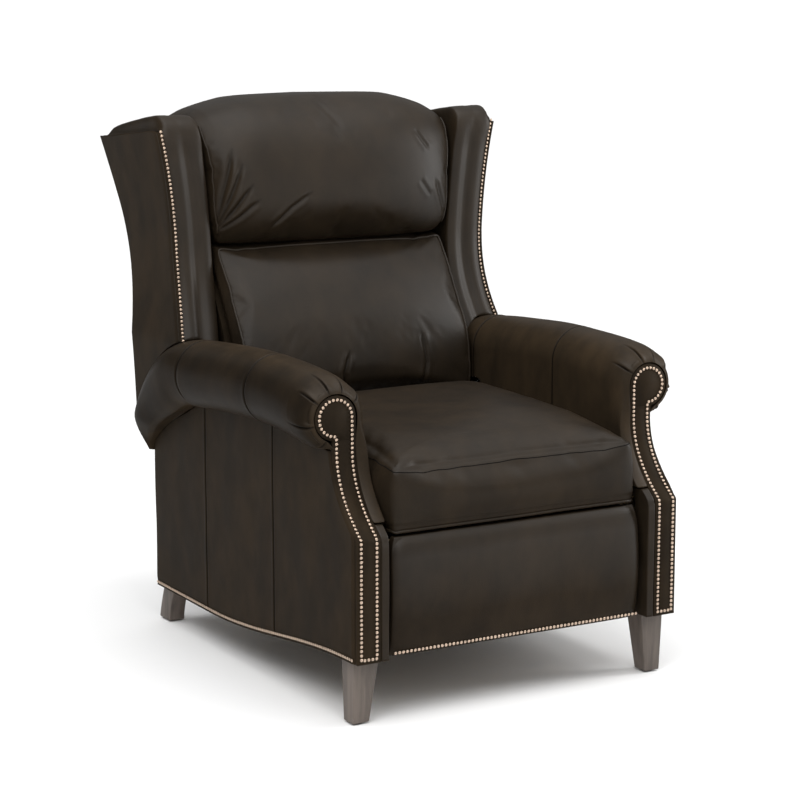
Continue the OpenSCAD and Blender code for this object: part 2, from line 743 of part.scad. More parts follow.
module short_link() {
    x = front_layer[3];
    across(x, plate_t) difference() {
        bar(low_front, mid_rest, link_w);
        hole(low_front, hole_r);
    }
    rivet(x, mid_rest);
}
module short_links() {
    color(steel) {
        short_link();
        left_hand() short_link();
    }
}

// Folded footrest
rest_front_y = front_y + facing_t * 0.75;
rest_board_y = rest_front_y + rest_pad_t + fit_gap;
rest_back_y = rest_board_y + rest_board_t;
rest_z = front_leg_h + facing_t;
module footrest_bracket() {
    x = front_layer[4];
    y = rest_back_y + fit_gap;
    color(steel) {
        across(x, plate_t) difference() {
            polygon([[y, mid_rest[1] - link_w * 1.5], [mid_rest[0], mid_rest[1] - link_w / 2],
                [mid_rest[0] + link_w / 2, mid_rest[1]], [top_front[0] + link_w / 2, top_front[1]],
                [top_front[0], top_front[1] + link_w / 3], [y, top_front[1] + link_w / 3]]);
            hole(top_front, hole_r);
            hole(mid_rest, loose_r);
        }
        slab(x - link_w, y, mid_rest[1] - link_w * 1.5, link_w + overrun, plate_t,
            top_front[1] - mid_rest[1] + link_w * 1.8);
    }
}
module footrest_bracket_right() footrest_bracket();
module footrest_bracket_left() left_hand() footrest_bracket();
module footrest_board() {
    w = rest_w / 2 - facing_t * 1.5;
    color(timber) slab(-w, rest_board_y, rest_z, 2 * w, rest_board_t, rest_h - facing_t * 1.5);
}
module footrest_pad() {
    n = grid_last;
    edge = facing_t * 0.75;
    function px(i, j) = rest_w / 2 * grid[j] * (i == n ? 0.965 : i == n - 1 ? 0.985 : 1);
    function rest_edge(r) = r == 0 ? 0.5 : r == 1 ? 0.12 : 0;
    function pz(i) = rest_z - edge + rest_h * (grid[i] + 1) / 2;
    front = [for (i = [0 : n]) [for (j = [0 : n])
        [px(i, j), rest_front_y + rest_pad_t * rest_edge(rim(i, j)), pz(i)]]];
    back = [for (i = [0 : n]) [for (j = [0 : n])
        [px(i, j) * 0.995, rest_front_y + rest_pad_t, pz(i)]]];
    color(leather) padded(front, back);
}

// Wings: outlines by height
waist_z = neck_joint_z - waist_drop;
waist_in = arm_inner - layer_gap;
high_flare_share = 1.2;
low_flare_share = 0.455;
inner_flare_share = 0.94;
inner_low_share = 0.364;
function above_waist(z) = max(0, (z - waist_z) / (wing_h - waist_z));
function below_waist(z) = max(0, (waist_z - z) / waist_reach);
function wing_x(z) = waist_w / 2 + wing_flare
    * (high_flare_share * pow(above_waist(z), 2) + low_flare_share * pow(min(1, below_waist(z)), 2));
function wing_in(z) = waist_in + wing_flare
    * (inner_flare_share * pow(above_waist(z), 1.6) + inner_low_share * pow(below_waist(z), 2));
nose_low_z = neck_joint_z + facing_t;
function nose_y(z) = front_y + nose_d - nose_step * pow(max(0, (nose_low_z - z) / nose_reach), 2);

// Rear outline of the back
rear_shares = [[0, 0.1435], [0.108, 0.1274], [0.22, 0.114], [0.347, 0.1065], [0.432, 0.0998],
    [0.545, 0.0837], [0.693, 0.0637], [0.783, 0.0485], [0.857, 0.0314], [0.911, 0.019], [1, 0]];
rear_low_z = hinge_z - rail_h * 0.8;
rear_top_z = wing_h - wing_pad_t * 0.75;
rear_pts = [for (s = rear_shares)
    [-front_y - s[1] * chair_depth, mix(rear_low_z, rear_top_z, s[0])]];
function rear_y(z) = lookup(z, [for (p = rear_pts) [p[1], p[0]]]);

// Front line of the lumbar cushion
lumbar_shares = [[0, 0.0], [0.07, -0.02], [0.28, 0.007], [0.43, 0.096], [0.54, 0.228], [0.66, 0.404],
    [0.775, 0.57], [0.88, 0.765], [0.965, 0.926], [1, 1]];
lumbar_low_z = seat_seam_z + plate_t * 2;
lumbar_foot_y = hinge_y - facing_t;
function lumbar_y(z) = lumbar_foot_y + lumbar_lean * lookup(
    (z - lumbar_low_z) / (neck_joint_z - lumbar_low_z), lumbar_shares);

function lumbar_z(v) = mix(lumbar_low_z, neck_joint_z - layer_gap, (v + 1) / 2);

wing_r = arc_outer + pad_gap;
wing_a0 = 12;
wing_a1 = 72;
corner_z = hinge_z + wing_r * cos(wing_a1);
wing_steps = 12;
wing_edge_top = wing_h - wing_flare * 0.9;
module wing_panel() {
    nose_bottom = about_hinge(wing_r, wing_a0);
    zs = [for (i = [0 : 2 * wing_steps]) mix(corner_z - overrun, wing_h, i / (2 * wing_steps))];
    color(leather) intersection() {
        across(0, arm_spacing) polygon(concat(
            [for (i = [wing_steps : -1 : 0]) about_hinge(wing_r, mix(wing_a0, wing_a1, i / wing_steps))],
            [for (i = [0 : wing_steps])
                let (z = mix(nose_bottom[1] + overrun, wing_edge_top, i / wing_steps))
                [max(nose_y(z), nose_bottom[0]), z]],
            reversed([for (p = rear_pts) if (p[1] > corner_z) p])));
        along(0, chair_depth) polygon(concat(
            [for (z = zs) [wing_x(z) + wing_t / 2, z]],
            [for (z = reversed(zs)) [wing_x(z) + wing_t * 1.5, z]]));
    }
}
module wing_panel_right() wing_panel();
module wing_panel_left() left_hand() wing_panel();

// Wing pad: two upright ridges with a groove between them, running over the top of the wing
wing_u = [0, 0.05, 0.16, 0.32, 0.42, 0.5, 0.58, 0.7, 0.84, 0.95, 1];
wing_drop = [0.30, 0.12, 0.02, 0.02, 0.07, 0.12, 0.05, 0.0, 0.01, 0.1, 0.38];
pad_low = about_hinge(wing_r + overrun, wing_a0);
pad_low_in = about_hinge(wing_r + overrun * 3, wing_a0 + 16);
function nose(z) = [nose_y(z), z];
top_y = front_y + nose_d;
crown_shares = [
    [[-0.05, 0.55], [1, 1.18]], [[0.05, 0.24], [1.05, 1.05]], [[0.34, 0.04], [1.18, 0.95]],
    [[0.9, 0.02], [1.66, 0.9]], [[2.03, 0.16], [2.1, 0.94]], [[3.1, 0.38], [2.92, 1.06]],
    [[3.55, 0.62], [3.2, 1.22]]];
function crown_point(q) = [top_y + q[0] * wing_pad_t, wing_h - q[1] * wing_pad_t];
wing_rows = 6;
wing_path = concat(
    [[[max(pad_low[0], nose_y(pad_low[1])), pad_low[1]], pad_low_in]],
    [for (k = [1 : wing_rows])
        let (z = mix(pad_low[1], wing_h - 0.6 * wing_pad_t, k / (wing_rows + 0.5)))
        [nose(z), [nose_y(z) + wing_pad_t, z - plate_t * k]]],
    [for (q = crown_shares) [crown_point(q[0]), crown_point(q[1])]]);
module wing_pad() {
    function out_point(pair, j) = let (
        d = pair[1] - pair[0], p = pair[0] + d * wing_drop[j] * wing_flare / norm(d),
        x = mix(wing_in(p[1]), wing_x(p[1]) + wing_t / 2 - overrun, wing_u[j])) [x, p[0], p[1]];
    function in_point(pair, j) = let (p = pair[1],
        x = mix(wing_in(p[1]), wing_x(p[1]) + wing_t / 2 - overrun, wing_u[j])) [x, p[0], p[1]];
    front = [for (pair = wing_path) [for (j = [0 : len(wing_u) - 1]) out_point(pair, j)]];
    back = [for (pair = wing_path) [for (j = [0 : len(wing_u) - 1]) in_point(pair, j)]];
    color(leather) padded(front, back);
}
module wing_pad_right() wing_pad();
module wing_pad_left() left_hand() wing_pad();

// Outside back, narrow between the arms and full width above them
inner_w = bracket_x - fit_gap - ply_t;
module outside_back() {
    low_w = bracket_x - plate_t;
    full_z = corner_z + outback_t * 1.5;
    half = concat([[low_w, 0], [low_w, full_z]],
        [for (i = [0 : 2 * wing_steps]) let (z = mix(full_z, wing_h, i / (2 * wing_steps)))
            [wing_x(z) + wing_t / 2 - overrun, z]]);
    color(leather) intersection() {
        along(0, chair_depth) polygon(concat(half, [for (p = reversed(half)) [-p[0], p[1]]]));
        across(-arm_spacing, 2 * arm_spacing) polygon(concat(rear_pts,
            reversed([for (p = rear_pts) [p[0] - outback_t, p[1]]])));
    }
}

// Plywood sides of the back
ply_low = rear_low_z + facing_t / 2;
ply_rear = outback_t + fit_gap;
head_back_y = front_y + nose_d + wing_pad_t + fit_gap;
ply_top = head_h - rail_h * 1.3;
module back_side() {
    x = bracket_x - fit_gap - ply_t;
    fronts = [for (v = grid) let (z = lumbar_z(v)) [lumbar_y(z) + lumbar_t + fit_gap, z]];
    color(timber) across(x, ply_t) polygon(concat(
        [[hinge_y + hub_r, ply_low], [hinge_y + hub_r, lumbar_low_z - facing_t]],
        fronts,
        [[head_back_y, neck_joint_z + facing_t],
         [head_back_y, ply_top - 1.3 * lining_t], [head_back_y + lining_t, ply_top],
         [rear_y(ply_top) - ply_rear - lining_t, ply_top]],
        reversed([for (p = rear_pts) if (p[1] < ply_top - lining_t && p[1] > ply_low)
            [p[0] - ply_rear, p[1]]]),
        [[rear_y(ply_low) - ply_rear, ply_low]]));
}
module back_side_right() back_side();
module back_side_left() left_hand() back_side();

module back_bracket() {
    far = hinge_z + drive_arm * 1.2;
    color(steel) {
        across(bracket_x, plate_t) difference() {
            union() {
                polygon([[hinge_y - hub_r * 0.9, hinge_z - hub_r * 0.4], [drive_y - stud_r * 2, drive_z],
                    [drive_y + stud_r * 2, drive_z], [hinge_y + hub_r * 1.8, hinge_z],
                    [hinge_y + hub_r * 4.4, hinge_z + hub_r], [hinge_y + hub_r * 4.4, far - hub_r],
                    [hinge_y + hub_r * 3.4, far], [hinge_y + hub_r * 2, far],
                    [hinge_y - hub_r * 0.6, hinge_z + hub_r * 0.7]]);
                translate([drive_y, drive_z]) circle(r = stud_r * 2, $fn = fine / 2);
                translate([hinge_y, hinge_z]) circle(r = hub_r, $fn = fine);
            }
            translate([hinge_y, hinge_z]) circle(r = hinge_r + run_gap, $fn = fine);
        }
        pin(bracket_x + plate_t / 2, drive_y, drive_z, stud_r,
            front_layer[0] - bracket_x + plate_t / 2 + fit_gap);
    }
}
module back_bracket_right() back_bracket();
module back_bracket_left() left_hand() back_bracket();

module back_cross_rails() {
    w = inner_w - fit_gap;
    color(timber) {
        slab(-w, rear_y(ply_low) - ply_rear - cross_t - facing_t, ply_low, 2 * w, cross_t, seat_rail_h * 2);
        slab(-w, rear_y(mix(ply_low, ply_top, 0.5)) - ply_rear - cross_t * 2, mix(ply_low, ply_top, 0.45),
            2 * w, cross_t, seat_rail_h * 2);
        slab(-w, head_back_y, ply_top - lining_t - seat_rail_h * 2, 2 * w, cross_t, seat_rail_h * 1.9);
    }
}
web_count = 5;
module back_webbing() {
    w = inner_w - fit_gap;
    strap = seat_rail_h * 1.4;
    color(lining_cloth) for (i = [0 : web_count - 1]) let (
        z = mix(lumbar_low_z, neck_joint_z - strap * 2, i / (web_count - 1)))
        slab(-w, lumbar_y(z + facing_t + strap) + lumbar_t + overrun, z + facing_t, 2 * w, plate_t, strap);
}

// Lumbar cushion
module lumbar_cushion() {
    n = grid_last;
    w = seat_w / 2 - overrun;
    function bulge(u, v) = lumbar_bulge * (1 - pow(abs(u), 2.6)) * (1 - pow(abs(v), 6))
        * clamp01((lumbar_z(v) - seat_crown_z) / rail_h);
    front = [for (i = [0 : n]) [for (j = [0 : n]) let (u = grid[j], v = grid[i],
        a = rim(i, j) == 0 ? lumbar_t * 0.4 : 0)
        [w * u * (rim(i, j) == 0 ? 1 : 0.995), lumbar_y(lumbar_z(v)) + a - bulge(u, v), lumbar_z(v)]]];
    back = [for (i = [0 : n]) [for (j = [0 : n]) let (u = grid[j], v = grid[i])
        [w * u * 0.985, lumbar_y(lumbar_z(v)) + lumbar_t, lumbar_z(v)]]];
    color(leather) padded(front, back);
}

// Head cushion: hangs over the top of the back between the wings
head_y = front_y + nose_d;
head_path = [
    [[0.05, 0], [0.95, 0]], [[-0.48, 0.05], [1, 0.06]], [[-0.84, 0.14], [1, 0.15]],
    [[-1, 0.27], [1, 0.27]], [[-0.97, 0.42], [1, 0.4]], [[-0.81, 0.57], [1, 0.5]],
    [[-0.48, 0.72], [1.02, 0.58]], [[0.05, 0.86], [1.12, 0.64]], [[0.5, 0.95], [1.3, 0.67]],
    [[1.1, 0.995], [1.6, 0.68]], [[1.9, 1], [2.0, 0.68]], [[2.6, 0.97], [2.5, 0.67]],
    [[3.15, 0.905], [2.95, 0.655]], [[3.45, 0.82], [3.2, 0.64]], [[3.55, 0.73], [3.3, 0.62]]];
module head_cushion() {
    hh = head_h - neck_joint_z - layer_gap;
    hz = neck_joint_z + layer_gap;
    n = grid_last;
    function half_w(z) = min(wing_in(z) - layer_gap, arm_inner + wing_flare - facing_t);
    function at(s) = [head_y + s[0] * (s[0] < 0 ? head_bulge : wing_pad_t), hz + s[1] * hh];
    function narrow(k) = k == 0 ? 0.945 : k == 1 ? 0.965 : 1;
    front = [for (k = [0 : len(head_path) - 1]) [for (j = [0 : n]) let (
        o = at(head_path[k][0]), i = at(head_path[k][1]), u = grid[j],
        t = 0.35 * pow(abs(u), 5), p = mix(o, i, t))
        [half_w(p[1]) * narrow(k) * u, p[0], p[1]]]];
    back = [for (k = [0 : len(head_path) - 1]) [for (j = [0 : n]) let (
        i = at(head_path[k][1]), u = grid[j])
        [half_w(i[1]) * narrow(k) * 0.99 * u, i[0], i[1]]]];
    color(leather) padded(front, back);
}

side_rail_left();
side_rail_right();
rear_rail();
front_stretcher();
corner_blocks();
arm_board_left();
arm_board_right();
arm_post_left();
arm_post_right();
arm_lining_left();
arm_lining_right();
arm_pad_left();
arm_pad_right();
arm_panel_left();
arm_panel_right();
arm_facing_left();
arm_facing_right();
rear_panel();
leg_front_left();
leg_front_right();
leg_rear_left();
leg_rear_right();
leg_glides();
base_plate_left();
base_plate_right();
seat_plate_left();
seat_plate_right();
seat_frame();
seat_bearers();
seat_springs();
seat_deck();
seat_cushion();
back_bracket_left();
back_bracket_right();
back_side_left();
back_side_right();
back_cross_rails();
back_webbing();
lumbar_cushion();
head_cushion();
wing_panel_left();
wing_panel_right();
wing_pad_left();
wing_pad_right();
outside_back();
torque_tube();
rear_link_left();
rear_link_right();
cross_link_left();
cross_link_right();
front_link_left();
front_link_right();
long_link_left();
long_link_right();
short_links();
footrest_bracket_left();
footrest_bracket_right();
footrest_board();
footrest_pad();
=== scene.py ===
"""Looks of a wingback recliner: leather upholstery, nail trim, timber legs, mechanism, floor and light.

Every piece is made in metres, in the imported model's own frame."""

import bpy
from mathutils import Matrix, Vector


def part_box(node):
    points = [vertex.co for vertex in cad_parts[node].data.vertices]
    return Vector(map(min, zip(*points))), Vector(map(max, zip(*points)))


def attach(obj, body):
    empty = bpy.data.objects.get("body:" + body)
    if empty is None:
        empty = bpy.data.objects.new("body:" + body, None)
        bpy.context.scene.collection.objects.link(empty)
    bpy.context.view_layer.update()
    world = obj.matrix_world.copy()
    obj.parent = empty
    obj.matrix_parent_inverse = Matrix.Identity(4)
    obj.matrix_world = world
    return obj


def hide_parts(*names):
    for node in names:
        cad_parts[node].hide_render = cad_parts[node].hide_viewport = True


bl_info = {
    "name": "Wingback recliner upholstery",
    "version": (1, 0, 0),
    "blender": (4, 5, 0),
    "location": "3D View > Sidebar > Recliner",
    "description": "Builds the leather, trim, timber and stage of a wingback recliner on its packed frame",
    "category": "Object",
}

import math

import bmesh
import bpy
import numpy as np
from mathutils import Matrix, Vector, noise
from mathutils.bvhtree import BVHTree

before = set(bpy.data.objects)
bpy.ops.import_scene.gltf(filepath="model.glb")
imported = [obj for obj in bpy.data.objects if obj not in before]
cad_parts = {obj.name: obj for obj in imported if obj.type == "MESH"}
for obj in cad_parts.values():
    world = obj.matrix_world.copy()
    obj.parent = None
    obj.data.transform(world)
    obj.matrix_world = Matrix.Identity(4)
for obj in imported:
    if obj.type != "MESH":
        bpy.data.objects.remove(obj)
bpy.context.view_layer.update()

# ------------------------------------------------------------------ outline of the chair, in metres
FRONT_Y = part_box("arm_facing_right")[0].y
REAR_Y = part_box("wing_panel_right")[1].y
BASE_REAR_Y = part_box("arm_panel_right")[1].y
HINGE_Y, HINGE_Z = 0.120, 0.376
ARM_X, ROLL_R = 0.366, 0.071
ARM_H, ROLL_DIP, REAR_DIP = 0.682, 0.019, 0.0152
LEAN = 0.094
FACING_Y, CREST_Y = FRONT_Y + LEAN, -0.1797
LEAN_END_Y = -0.30  # behind this the arm is upright again
BEND_Z, NECK_Z, LEAN_POWER = 0.372, 0.530, 2.1
UNDER = 0.9  # depth of the roll below its centre, in radii
HEM_FRONT_Z, HEM_REAR_Z = 0.130, 0.080
SIDE_TOE, SIDE_T = 0.012, 0.010
KEYHOLE_R, COLUMN_W = 0.044, 0.051
FACING_T = 0.0083  # from the front of a facing to what stands behind it
WAIST_X, WING_FLARE, WING_H = 0.374, 0.033, 1.129
NOSE_Y, PAD_D = FRONT_Y + 0.764, 0.076
JOINT_Z = 0.848
KNEE_Z = JOINT_Z - 0.048
ARM_IN_X = ARM_X - ROLL_R - 0.001


def mix(a, b, t):
    return a + (b - a) * t


def clamp01(t):
    return max(0.0, min(1.0, t))


def smooth(t):
    t = clamp01(t)
    return t * t * (3 - 2 * t)


def bump(d, width):
    """A bell of height 1 at d = 0 that has died away at about twice the width."""
    return math.exp(-((d / width) ** 2))


def lean_y(z):
    """Front of the facings, which lean back up to the roll."""
    return FRONT_Y + LEAN * (1 - (1 - clamp01((z - BEND_Z) / (NECK_Z - BEND_Z))) ** LEAN_POWER)


def roll_z(y):
    """Height of the arm roll's centre."""
    if y < CREST_Y:
        return ARM_H - ROLL_R - ROLL_DIP * ((CREST_Y - y) / (CREST_Y - FACING_Y)) ** 2
    return ARM_H - ROLL_R - REAR_DIP * ((y - CREST_Y) / (HINGE_Y - CREST_Y)) ** 2


ARC_OUT = roll_z(HINGE_Y) - HINGE_Z + ROLL_R
ARC_IN = ARC_OUT - (1 + UNDER) * ROLL_R


def tail_share(a):
    """How far the roll's tail has thinned out at an angle, in degrees, about the back's hinge."""
    return clamp01((a - 25) / 59)


def arc_in(a):
    """Radius of the roll's lower side about the hinge."""
    return mix(ARC_IN, ARC_OUT - 0.013, tail_share(a) ** 2.2)


def about_hinge(r, a):
    return HINGE_Y + r * math.sin(math.radians(a)), HINGE_Z + r * math.cos(math.radians(a))


ARC_EDGE = [about_hinge(arc_in(a) - 0.001, a) for a in np.linspace(0, 84, 60)]


def panel_top(y):
    """Height of the arm panel's upper edge, just under the roll."""
    if y < HINGE_Y:
        return roll_z(y) - UNDER * ROLL_R - 0.001
    return float(np.interp(y, [p[0] for p in ARC_EDGE], [p[1] for p in ARC_EDGE]))


def hem_z(y):
    """Height of the ogee hem."""
    t = clamp01((y - (FRONT_Y + 0.008)) / (HINGE_Y - 0.008 - (FRONT_Y + 0.008)))
    return mix(HEM_FRONT_Z, HEM_REAR_Z, 0.5 - 0.5 * math.cos(math.pi * t))


def panel_x(y):
    """Outer face of the arm panels."""
    return ARM_X + SIDE_TOE * (BASE_REAR_Y - y) / (BASE_REAR_Y - FRONT_Y)


def wing_x(z):
    """Outer face of the wings."""
    if z > KNEE_Z:
        return WAIST_X + WING_FLARE * 1.2 * ((z - KNEE_Z) / (WING_H - KNEE_Z)) ** 2
    return WAIST_X + WING_FLARE * min(1, (KNEE_Z - z) / 0.150) ** 2 / 2.2


def nose_y(z):
    """Front edge of the wings."""
    low = JOINT_Z + 0.008
    return NOSE_Y - (0.059 * ((low - z) / 0.210) ** 2 if z < low else 0)


def wing_in(z):
    """Inner face of the wings."""
    if z > KNEE_Z:
        return ARM_IN_X - 0.002 + WING_FLARE * 0.94 * ((z - KNEE_Z) / (WING_H - KNEE_Z)) ** 1.6
    return ARM_IN_X - 0.002 + 0.012 * ((KNEE_Z - z) / 0.150) ** 2


REAR_EDGE = [(0.296, 0.375), (0.380, 0.392), (0.467, 0.406), (0.565, 0.414), (0.631, 0.421), (0.719, 0.438),
             (0.834, 0.459), (0.904, 0.475), (0.961, 0.493), (1.003, 0.506), (1.072, REAR_Y)]
LUMBAR_EDGE = [(0.506, 0.112), (0.530, 0.1092), (0.602, 0.113), (0.653, 0.1252), (0.6907, 0.1435),
               (0.7317, 0.1678), (0.771, 0.1907), (0.807, 0.2176), (0.836, 0.2398), (0.848, 0.250)]


def spline(at, values):
    """A smooth function through the values at rising positions."""
    slopes = np.gradient(values, at, axis=0)

    def value(t):
        t = min(max(t, at[0]), at[-1])
        i = min(int(np.searchsorted(at, t, side="right")) - 1, len(at) - 2)
        h = at[i + 1] - at[i]
        s = (t - at[i]) / h
        return ((1 + 2 * s) * (1 - s) ** 2 * values[i] + s * (1 - s) ** 2 * h * slopes[i]
                + s * s * (3 - 2 * s) * values[i + 1] + s * s * (s - 1) * h * slopes[i + 1])

    return value


def curve_through(points):
    """A smooth function through (position, value) pairs."""
    return spline(*np.array(points, float).T)


cad_rear_y = curve_through(REAR_EDGE)
lumbar_y = curve_through(LUMBAR_EDGE)


def fullness(z):
    """Grows from 0 to 1 up the upper part of the back."""
    return smooth((z - 0.80) / 0.27)


def rear_y(z):
    """Rear edge of the wings with the fullness of the padding behind it."""
    return cad_rear_y(z) + 0.005 * smooth((z - 0.45) / 0.30) + 0.007 * fullness(z)


# ------------------------------------------------------------------ settings
def metres(name, description, default):
    return bpy.props.FloatProperty(name=name, description=description, default=default, unit="LENGTH")


def hue(name, description, default):
    return bpy.props.FloatVectorProperty(name=name, description=description, subtype="COLOR", size=3,
                                         default=default)


class UpholsterySizes(bpy.types.PropertyGroup):
    piping_r: metres("Piping radius", "Radius of the leather piping", 0.0030)
    nail_r: metres("Nail radius", "Radius of a nail head", 0.0034)
    nail_pitch: metres("Nail pitch", "Distance from nail to nail", 0.0087)
    nail_inset: metres("Nail inset", "Distance of the nails from an edge", 0.0085)
    pleat_depth: metres("Pleat depth", "Depth of the pleats at the arm fronts", 0.0060)
    seam_depth: metres("Seam depth", "Depth of a plain seam", 0.0030)
    fold_depth: metres("Fold depth", "Depth of the gathers in the cushions", 0.0060)


class UpholsteryColours(bpy.types.PropertyGroup):
    leather: hue("Leather", "Main colour of the leather", (0.0180, 0.0130, 0.0084))
    leather_warm: hue("Warm leather", "Brown that shows through it", (0.0300, 0.0205, 0.0120))
    nail: hue("Nails", "Colour of the nail heads", (0.56, 0.43, 0.33))
    oak: hue("Leg timber", "Light tone of the legs", (0.150, 0.120, 0.100))
    oak_dark: hue("Leg grain", "Dark tone of the legs", (0.068, 0.053, 0.043))
    pine: hue("Frame timber", "Light tone of the hidden frame", (0.55, 0.40, 0.24))


def sizes():
    return bpy.context.scene.recliner_sizes


def colours():
    return bpy.context.scene.recliner_colours


# ------------------------------------------------------------------ shader maths
class Socket:
    """A node socket that takes part in arithmetic and adds the Math nodes it needs."""

    def __init__(self, tree, socket):
        self.tree, self.socket = tree, socket

    def node(self, kind, inputs=(), out=0, **settings):
        n = self.tree.nodes.new(kind)
        for key, value in settings.items():
            setattr(n, key, value)
        for key, value in dict(inputs).items():
            target = n.inputs[key]
            if isinstance(value, Socket):
                self.tree.links.new(value.socket, target)
            else:
                target.default_value = value
        return Socket(self.tree, n.outputs[out])

    def _math(self, operation, *others):
        values = [self, *others]
        return self.node("ShaderNodeMath", enumerate(values), operation=operation)

    def __add__(self, other):
        return self._math("ADD", other)

    __radd__ = __add__

    def __sub__(self, other):
        return self._math("SUBTRACT", other)

    def __rsub__(self, other):
        return self.node("ShaderNodeMath", {0: other, 1: self}, operation="SUBTRACT")

    def __mul__(self, other):
        return self._math("MULTIPLY", other)

    __rmul__ = __mul__

    def clamped(self, low, high):
        return self.node("ShaderNodeMapRange", {0: self, 1: low, 2: high, 3: 0.0, 4: 1.0})

    def noise(self, scale, detail, roughness=0.5, distortion=0.0):
        return self.node("ShaderNodeTexNoise", {"Vector": self, "Scale": scale, "Detail": detail,
                                                "Roughness": roughness, "Distortion": distortion})

    def axis(self, index):
        return self.node("ShaderNodeSeparateXYZ", {0: self}, out=index)

    def tint(self, a, b):
        """The colour between a and b that this value picks."""
        return self.node("ShaderNodeMix", {0: self, 6: a, 7: b}, out=2, data_type="RGBA")


def rgba(colour, k=1.0):
    return tuple(c * k for c in colour) + (1.0,)


def new_material(name):
    m = bpy.data.materials.new(name)
    m.use_nodes = True
    tree = m.node_tree
    tree.nodes.clear()
    out = tree.nodes.new("ShaderNodeOutputMaterial")
    shader = tree.nodes.new("ShaderNodeBsdfPrincipled")
    tree.links.new(shader.outputs[0], out.inputs[0])
    place = Socket(tree, tree.nodes.new("ShaderNodeTexCoord").outputs["Object"])
    return m, shader, place


def plug(shader, name, value):
    value.tree.links.new(value.socket, shader.inputs[name])


def relieved(shader, height, strength, distance):
    """Gives the surface a bump of the given height pattern."""
    plug(shader, "Normal", height.node("ShaderNodeBump", {"Height": height, "Strength": strength,
                                                          "Distance": distance}))


SEAM_SHADE = (0.0015, 0.0013, 0.0012)
METAL_SPECKLE = 0.12


def leather_material(name, level, polish=0.0, rise=(-0.5, 0.1), roughness=0.42, shade=1.0,
                     clouds=(0.38, 0.64), outer=0.0):
    """Waxed upholstery leather: a fine pebble, soft brown clouds, a polish where it is leant on, painted
    shade in its seams, pleats and folds, and, where outer is given, painted shade on the sides that face away
    from the sitter.
    """
    m, shader, p = new_material(name)
    c = colours()
    tall = p.node("ShaderNodeMapping", {"Vector": p, "Scale": (1.0, 1.0, 0.55)})
    cloud = tall.noise(6.0, 3.0, 0.55)
    patch = tall.noise(19.0, 3.0, 0.6)
    speck = p.noise(70.0, 3.0, 0.6)
    pebble = p.node("ShaderNodeTexVoronoi", {"Vector": p, "Scale": 420.0}, feature="F1")
    pore = p.noise(900.0, 2.0, 0.6)
    wrinkle = p.noise(24.0, 5.0, 0.6, 0.6)
    warm = (cloud * 0.5 + patch * 0.5).clamped(*clouds)
    base = warm.tint(rgba(c.leather, shade), rgba(c.leather_warm, shade))
    worn = (speck * 0.55 + wrinkle * 0.45).clamped(0.35, 0.8)
    base = (worn * 0.20).tint(base, rgba(c.leather, 1.6))
    facing = Socket(p.tree, p.tree.nodes.new("ShaderNodeTexCoord").outputs["Normal"])
    if outer:
        # painted shade: the outward-facing sides of a pair of pieces are darkened towards SEAM_SHADE, and the
        # sides that face the sitter are not
        side = p.axis(0).clamped(-0.05, 0.05) * 2.0 - 1.0
        base = ((side * facing.axis(0)).clamped(0.30, 0.85) * outer).tint(base, rgba(SEAM_SHADE))
    # painted shade: seams, pleat creases and folds darken the base colour towards SEAM_SHADE and lose most of
    # their coat
    seam = p.node("ShaderNodeAttribute", attribute_name="painted_crease_shade", out=2)
    plug(shader, "Base Color", (seam * 0.96).tint(base, rgba(SEAM_SHADE)))
    plug(shader, "Roughness", cloud.clamped(0.3, 0.7) * 0.07 + speck * 0.05 + (roughness - 0.06))
    relieved(shader, pebble * 0.42 + pore * 0.18 + wrinkle * 1.0, 0.16, 0.0016)
    shader.inputs["Specular IOR Level"].default_value = level
    if polish:
        across, up = facing.axis(0)._math("ABSOLUTE"), facing.axis(2)
        shown = (1.0 - across.clamped(0.25, 0.80)) * up.clamped(*rise) * (1.0 - up.clamped(0.45, 1.0) * 0.45)
        plug(shader, "Coat Weight", shown * (1.0 - seam * 0.8) * polish)
        shader.inputs["Coat Roughness"].default_value = 0.44
    return m


def wood_material(name, light, dark, along, fine, rough):
    """Open-grained timber with its grain along one axis (0, 1 or 2)."""
    m, shader, p = new_material(name)
    scale = [60.0 * fine, 60.0 * fine, 60.0 * fine]
    scale[along] = 3.2
    long_p = p.node("ShaderNodeMapping", {"Vector": p, "Scale": tuple(scale)})
    fibre = long_p.noise(1.6, 6.0, 0.65)
    band = long_p.noise(0.32, 3.0, distortion=0.8)
    tone = (fibre * 0.6 + band * 0.55).clamped(0.42, 0.74)
    plug(shader, "Base Color", tone.tint(rgba(dark), rgba(light)))
    plug(shader, "Roughness", fibre * 0.2 + (rough - 0.1))
    relieved(shader, fibre, 0.35, 0.0010)
    return m


def metal_material(name, colour, rough, metallic):
    m, shader, p = new_material(name)
    mottle = p.noise(120.0, 4.0, 0.6)
    plug(shader, "Base Color", mottle.clamped(0.3, 0.75).tint(rgba(colour, 1 - METAL_SPECKLE),
                                                              rgba(colour, 1 + METAL_SPECKLE)))
    plug(shader, "Roughness", mottle * 0.2 + (rough - 0.1))
    relieved(shader, mottle, 0.12, 0.0004)
    shader.inputs["Metallic"].default_value = metallic
    return m


def cloth_material(name, colour):
    m, shader, p = new_material(name)
    warp = p.node("ShaderNodeTexWave", {"Vector": p, "Scale": 260.0, "Distortion": 0.3}, bands_direction="X")
    weft = p.node("ShaderNodeTexWave", {"Vector": p, "Scale": 260.0, "Distortion": 0.3}, bands_direction="Y")
    fuzz = p.noise(40.0, 4.0)
    weave = warp * 0.5 + weft * 0.5
    plug(shader, "Base Color", (weave * 0.5 + fuzz * 0.5).clamped(0.2, 0.8).tint(rgba(colour, 0.6),
                                                                               rgba(colour, 1.5)))
    relieved(shader, weave, 0.3, 0.0006)
    shader.inputs["Roughness"].default_value = 0.9
    shader.inputs["Specular IOR Level"].default_value = 0.08
    return m


MATERIALS = {}


def pine(name, along):
    timber = tuple(colours().pine)
    return wood_material(name, timber, tuple(v * 0.6 for v in timber), along, 0.5, 0.7)


